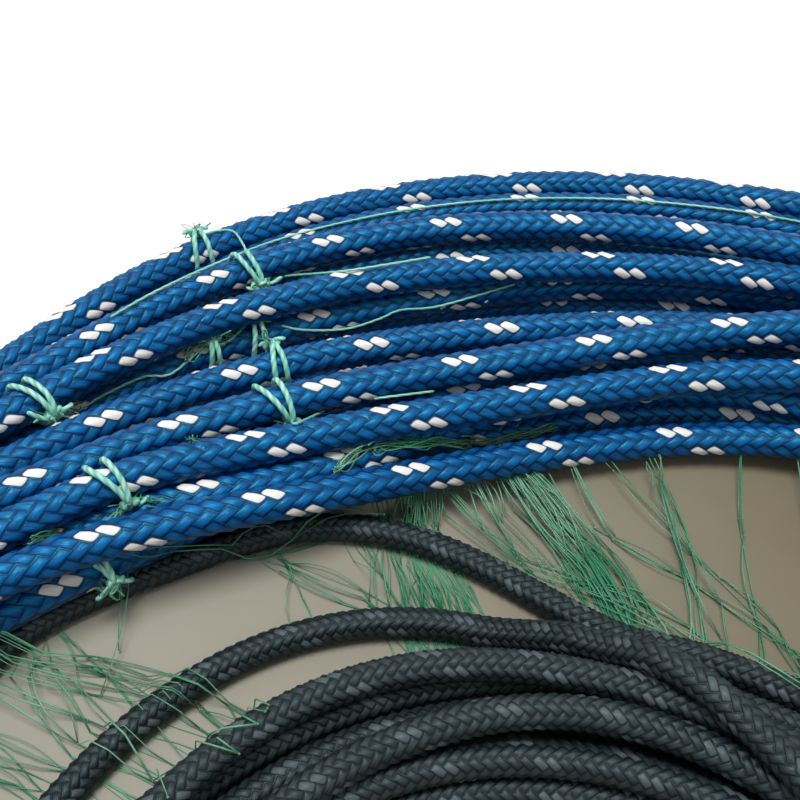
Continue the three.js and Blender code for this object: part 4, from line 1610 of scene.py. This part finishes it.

# %% [markdown]
# The twine is pale green and a little shiny. The groove between its two plies is painted darker, as
# painted shade, and the green is deeper in some places than in others. Its `weave` map runs along the
# twine, so the fibres turn with the plies, which a pattern in space could not do on a knot.

# %% Twine's finish
FIBRES = 30.0  # round a ply
f = Finish("pale green twine")
u, v, _ = f.parts(f.map_named("weave"))
lobe = f.math("COSINE", f.times(f.minus(u, v), 4 * math.pi))
fibres = f.noise(f.vector(f.times(f.minus(u, v), FIBRES), v), 1.0)
deeper = f.span(f.noise(f.place(), 90.0, 2.0), 0.35, 0.65)
mint = f.blend(deeper, (0.42, 0.76, 0.64, 1), (0.20, 0.58, 0.45, 1))
ply_shade_and_fibres = f.span(f.plus(lobe, f.times(fibres, 0.8)), -0.8, 1.2)
# painted shade: dark green in the groove between the plies, mint on them, with fibres mixed in
f.join(f.blend(ply_shade_and_fibres, (0.12, 0.42, 0.32, 1), mint), f.shader.inputs["Base Color"])
f.shader.inputs["Roughness"].default_value = 0.38
f.raise_by(f.plus(lobe, fibres), 0.04 * MM, 0.5)
f.give(ties)
f.report()

# %% [markdown]
# The netting is green nylon, paler where it has dried with salt on it. The real filament is clear,
# but glass this thin needs many rays and would come out of an export as a plain colour, so it is
# painted as what shows: a deep green with soft lights.

# %% Netting's finish
f = Finish("green monofilament")
salt = f.span(f.noise(f.place(), 60.0, 3.0), 0.4, 0.7)
f.join(f.blend(salt, (0.035, 0.21, 0.105, 1), (0.16, 0.38, 0.24, 1)), f.shader.inputs["Base Color"])
f.join(f.span(f.noise(f.place(), 400.0, 2.0), 0.3, 0.7, 0.22, 0.42), f.shader.inputs["Roughness"])
f.raise_by(f.noise(f.place(), 900.0, 1.0), 0.03 * MM, 0.5)
f.give(*nets)
f.report()

# %% [markdown]
# ## Floor and light
#
# The coil lies on plain board: warm grey inside the ring and white beyond it. The grey is painted
# darker towards +X, as painted shade. One plane could have a sheet laid on it for the grey part, but
# its edge would show as a step, so the colour changes in the board's own finish. Far off it glows a
# little to the camera alone, to look as white as it does under the lamp, which puts no more light on
# the coil.

# %% Floor
GREY_MIDDLE = (0.012, 0.03)
GREY_EDGE = (0.205, 0.222)  # radii between which the grey gives way to white
FAR_OFF = (0.35, 1.3)  # radii between which the glow grows
FAR_GLOW = 0.55
bpy.ops.object.select_all(action="DESELECT")
bpy.ops.mesh.primitive_plane_add(size=6, location=(0, 0, 0))
floor = bpy.context.object
floor.name = "floor"
f = Finish("board")
x, y, _ = f.parts(f.place())
aside = f.minus(x, GREY_MIDDLE[0])
outward = f.minus(y, GREY_MIDDLE[1])
squares = f.plus(f.times(aside, aside), f.times(outward, outward))
from_middle = f.math("SQRT", squares)
grain = f.span(f.noise(f.place(), 14.0, 4.0), 0.3, 0.7, -0.1, 0.1)
# painted shade: the grey goes darker from -X to +X, with the board's own grain on top
grain_and_shade = f.plus(f.span(x, -0.09, 0.035), grain)
warm = f.blend(grain_and_shade, (0.31, 0.295, 0.243, 1), (0.157, 0.134, 0.087, 1))
pale = f.span(from_middle, *GREY_EDGE)
f.join(f.blend(pale, warm, (0.97, 0.97, 0.97, 1)), f.shader.inputs["Base Color"])
seen = f.tree.nodes.new("ShaderNodeLightPath").outputs["Is Camera Ray"]
far = f.span(from_middle, *FAR_OFF, 0.0, FAR_GLOW)
f.shader.inputs["Emission Color"].default_value = (1, 1, 1, 1)
f.join(f.times(seen, far), f.shader.inputs["Emission Strength"])
f.shader.inputs["Roughness"].default_value = 0.8
f.shader.inputs["Specular IOR Level"].default_value = 0.2
f.give(floor)
f.report()

# %% [markdown]
# A wide soft lamp stands above and behind, so that the tops of the turns catch it and their near
# sides fall away into shade, and the world fills the rest. The world is at full strength only for
# what the camera sees of it, directly or in a gloss: at half strength on the coil the shade keeps
# its depth.

# %% Lamp and world
LAMP_AT = (-0.12, 0.12, 1.1)
LAMP_SIZE = 0.5
LAMP_WATTS = 11.5
LAMP_TILT = math.radians(-6)
WORLD_ON_COIL = 0.5
bpy.ops.object.light_add(type="AREA", location=LAMP_AT)
lamp = bpy.context.object
lamp.data.shape = "DISK"
lamp.data.size = LAMP_SIZE
lamp.data.energy = LAMP_WATTS
lamp.rotation_euler = (LAMP_TILT, LAMP_TILT, 0)
world = bpy.data.worlds.new("white room")
bpy.context.scene.world = world
world.use_nodes = True
tree = world.node_tree
background = tree.nodes["Background"]
background.inputs["Color"].default_value = (1, 1, 1, 1)
light_path = tree.nodes.new("ShaderNodeLightPath")
strength = tree.nodes.new("ShaderNodeMapRange")
seen = light_path.outputs["Is Camera Ray"]
for ray in ("Is Glossy Ray", "Is Transmission Ray"):
    either = tree.nodes.new("ShaderNodeMath")
    either.operation = "MAXIMUM"
    tree.links.new(seen, either.inputs[0])
    tree.links.new(light_path.outputs[ray], either.inputs[1])
    seen = either.outputs[0]
tree.links.new(seen, strength.inputs[0])
strength.inputs["To Min"].default_value = WORLD_ON_COIL
strength.inputs["To Max"].default_value = 1.0
tree.links.new(strength.outputs[0], background.inputs["Strength"])
bpy.context.scene.view_settings.view_transform = "Standard"
print("lamp", LAMP_WATTS, "W,", LAMP_SIZE, "m across,", LAMP_AT[2], "m up")
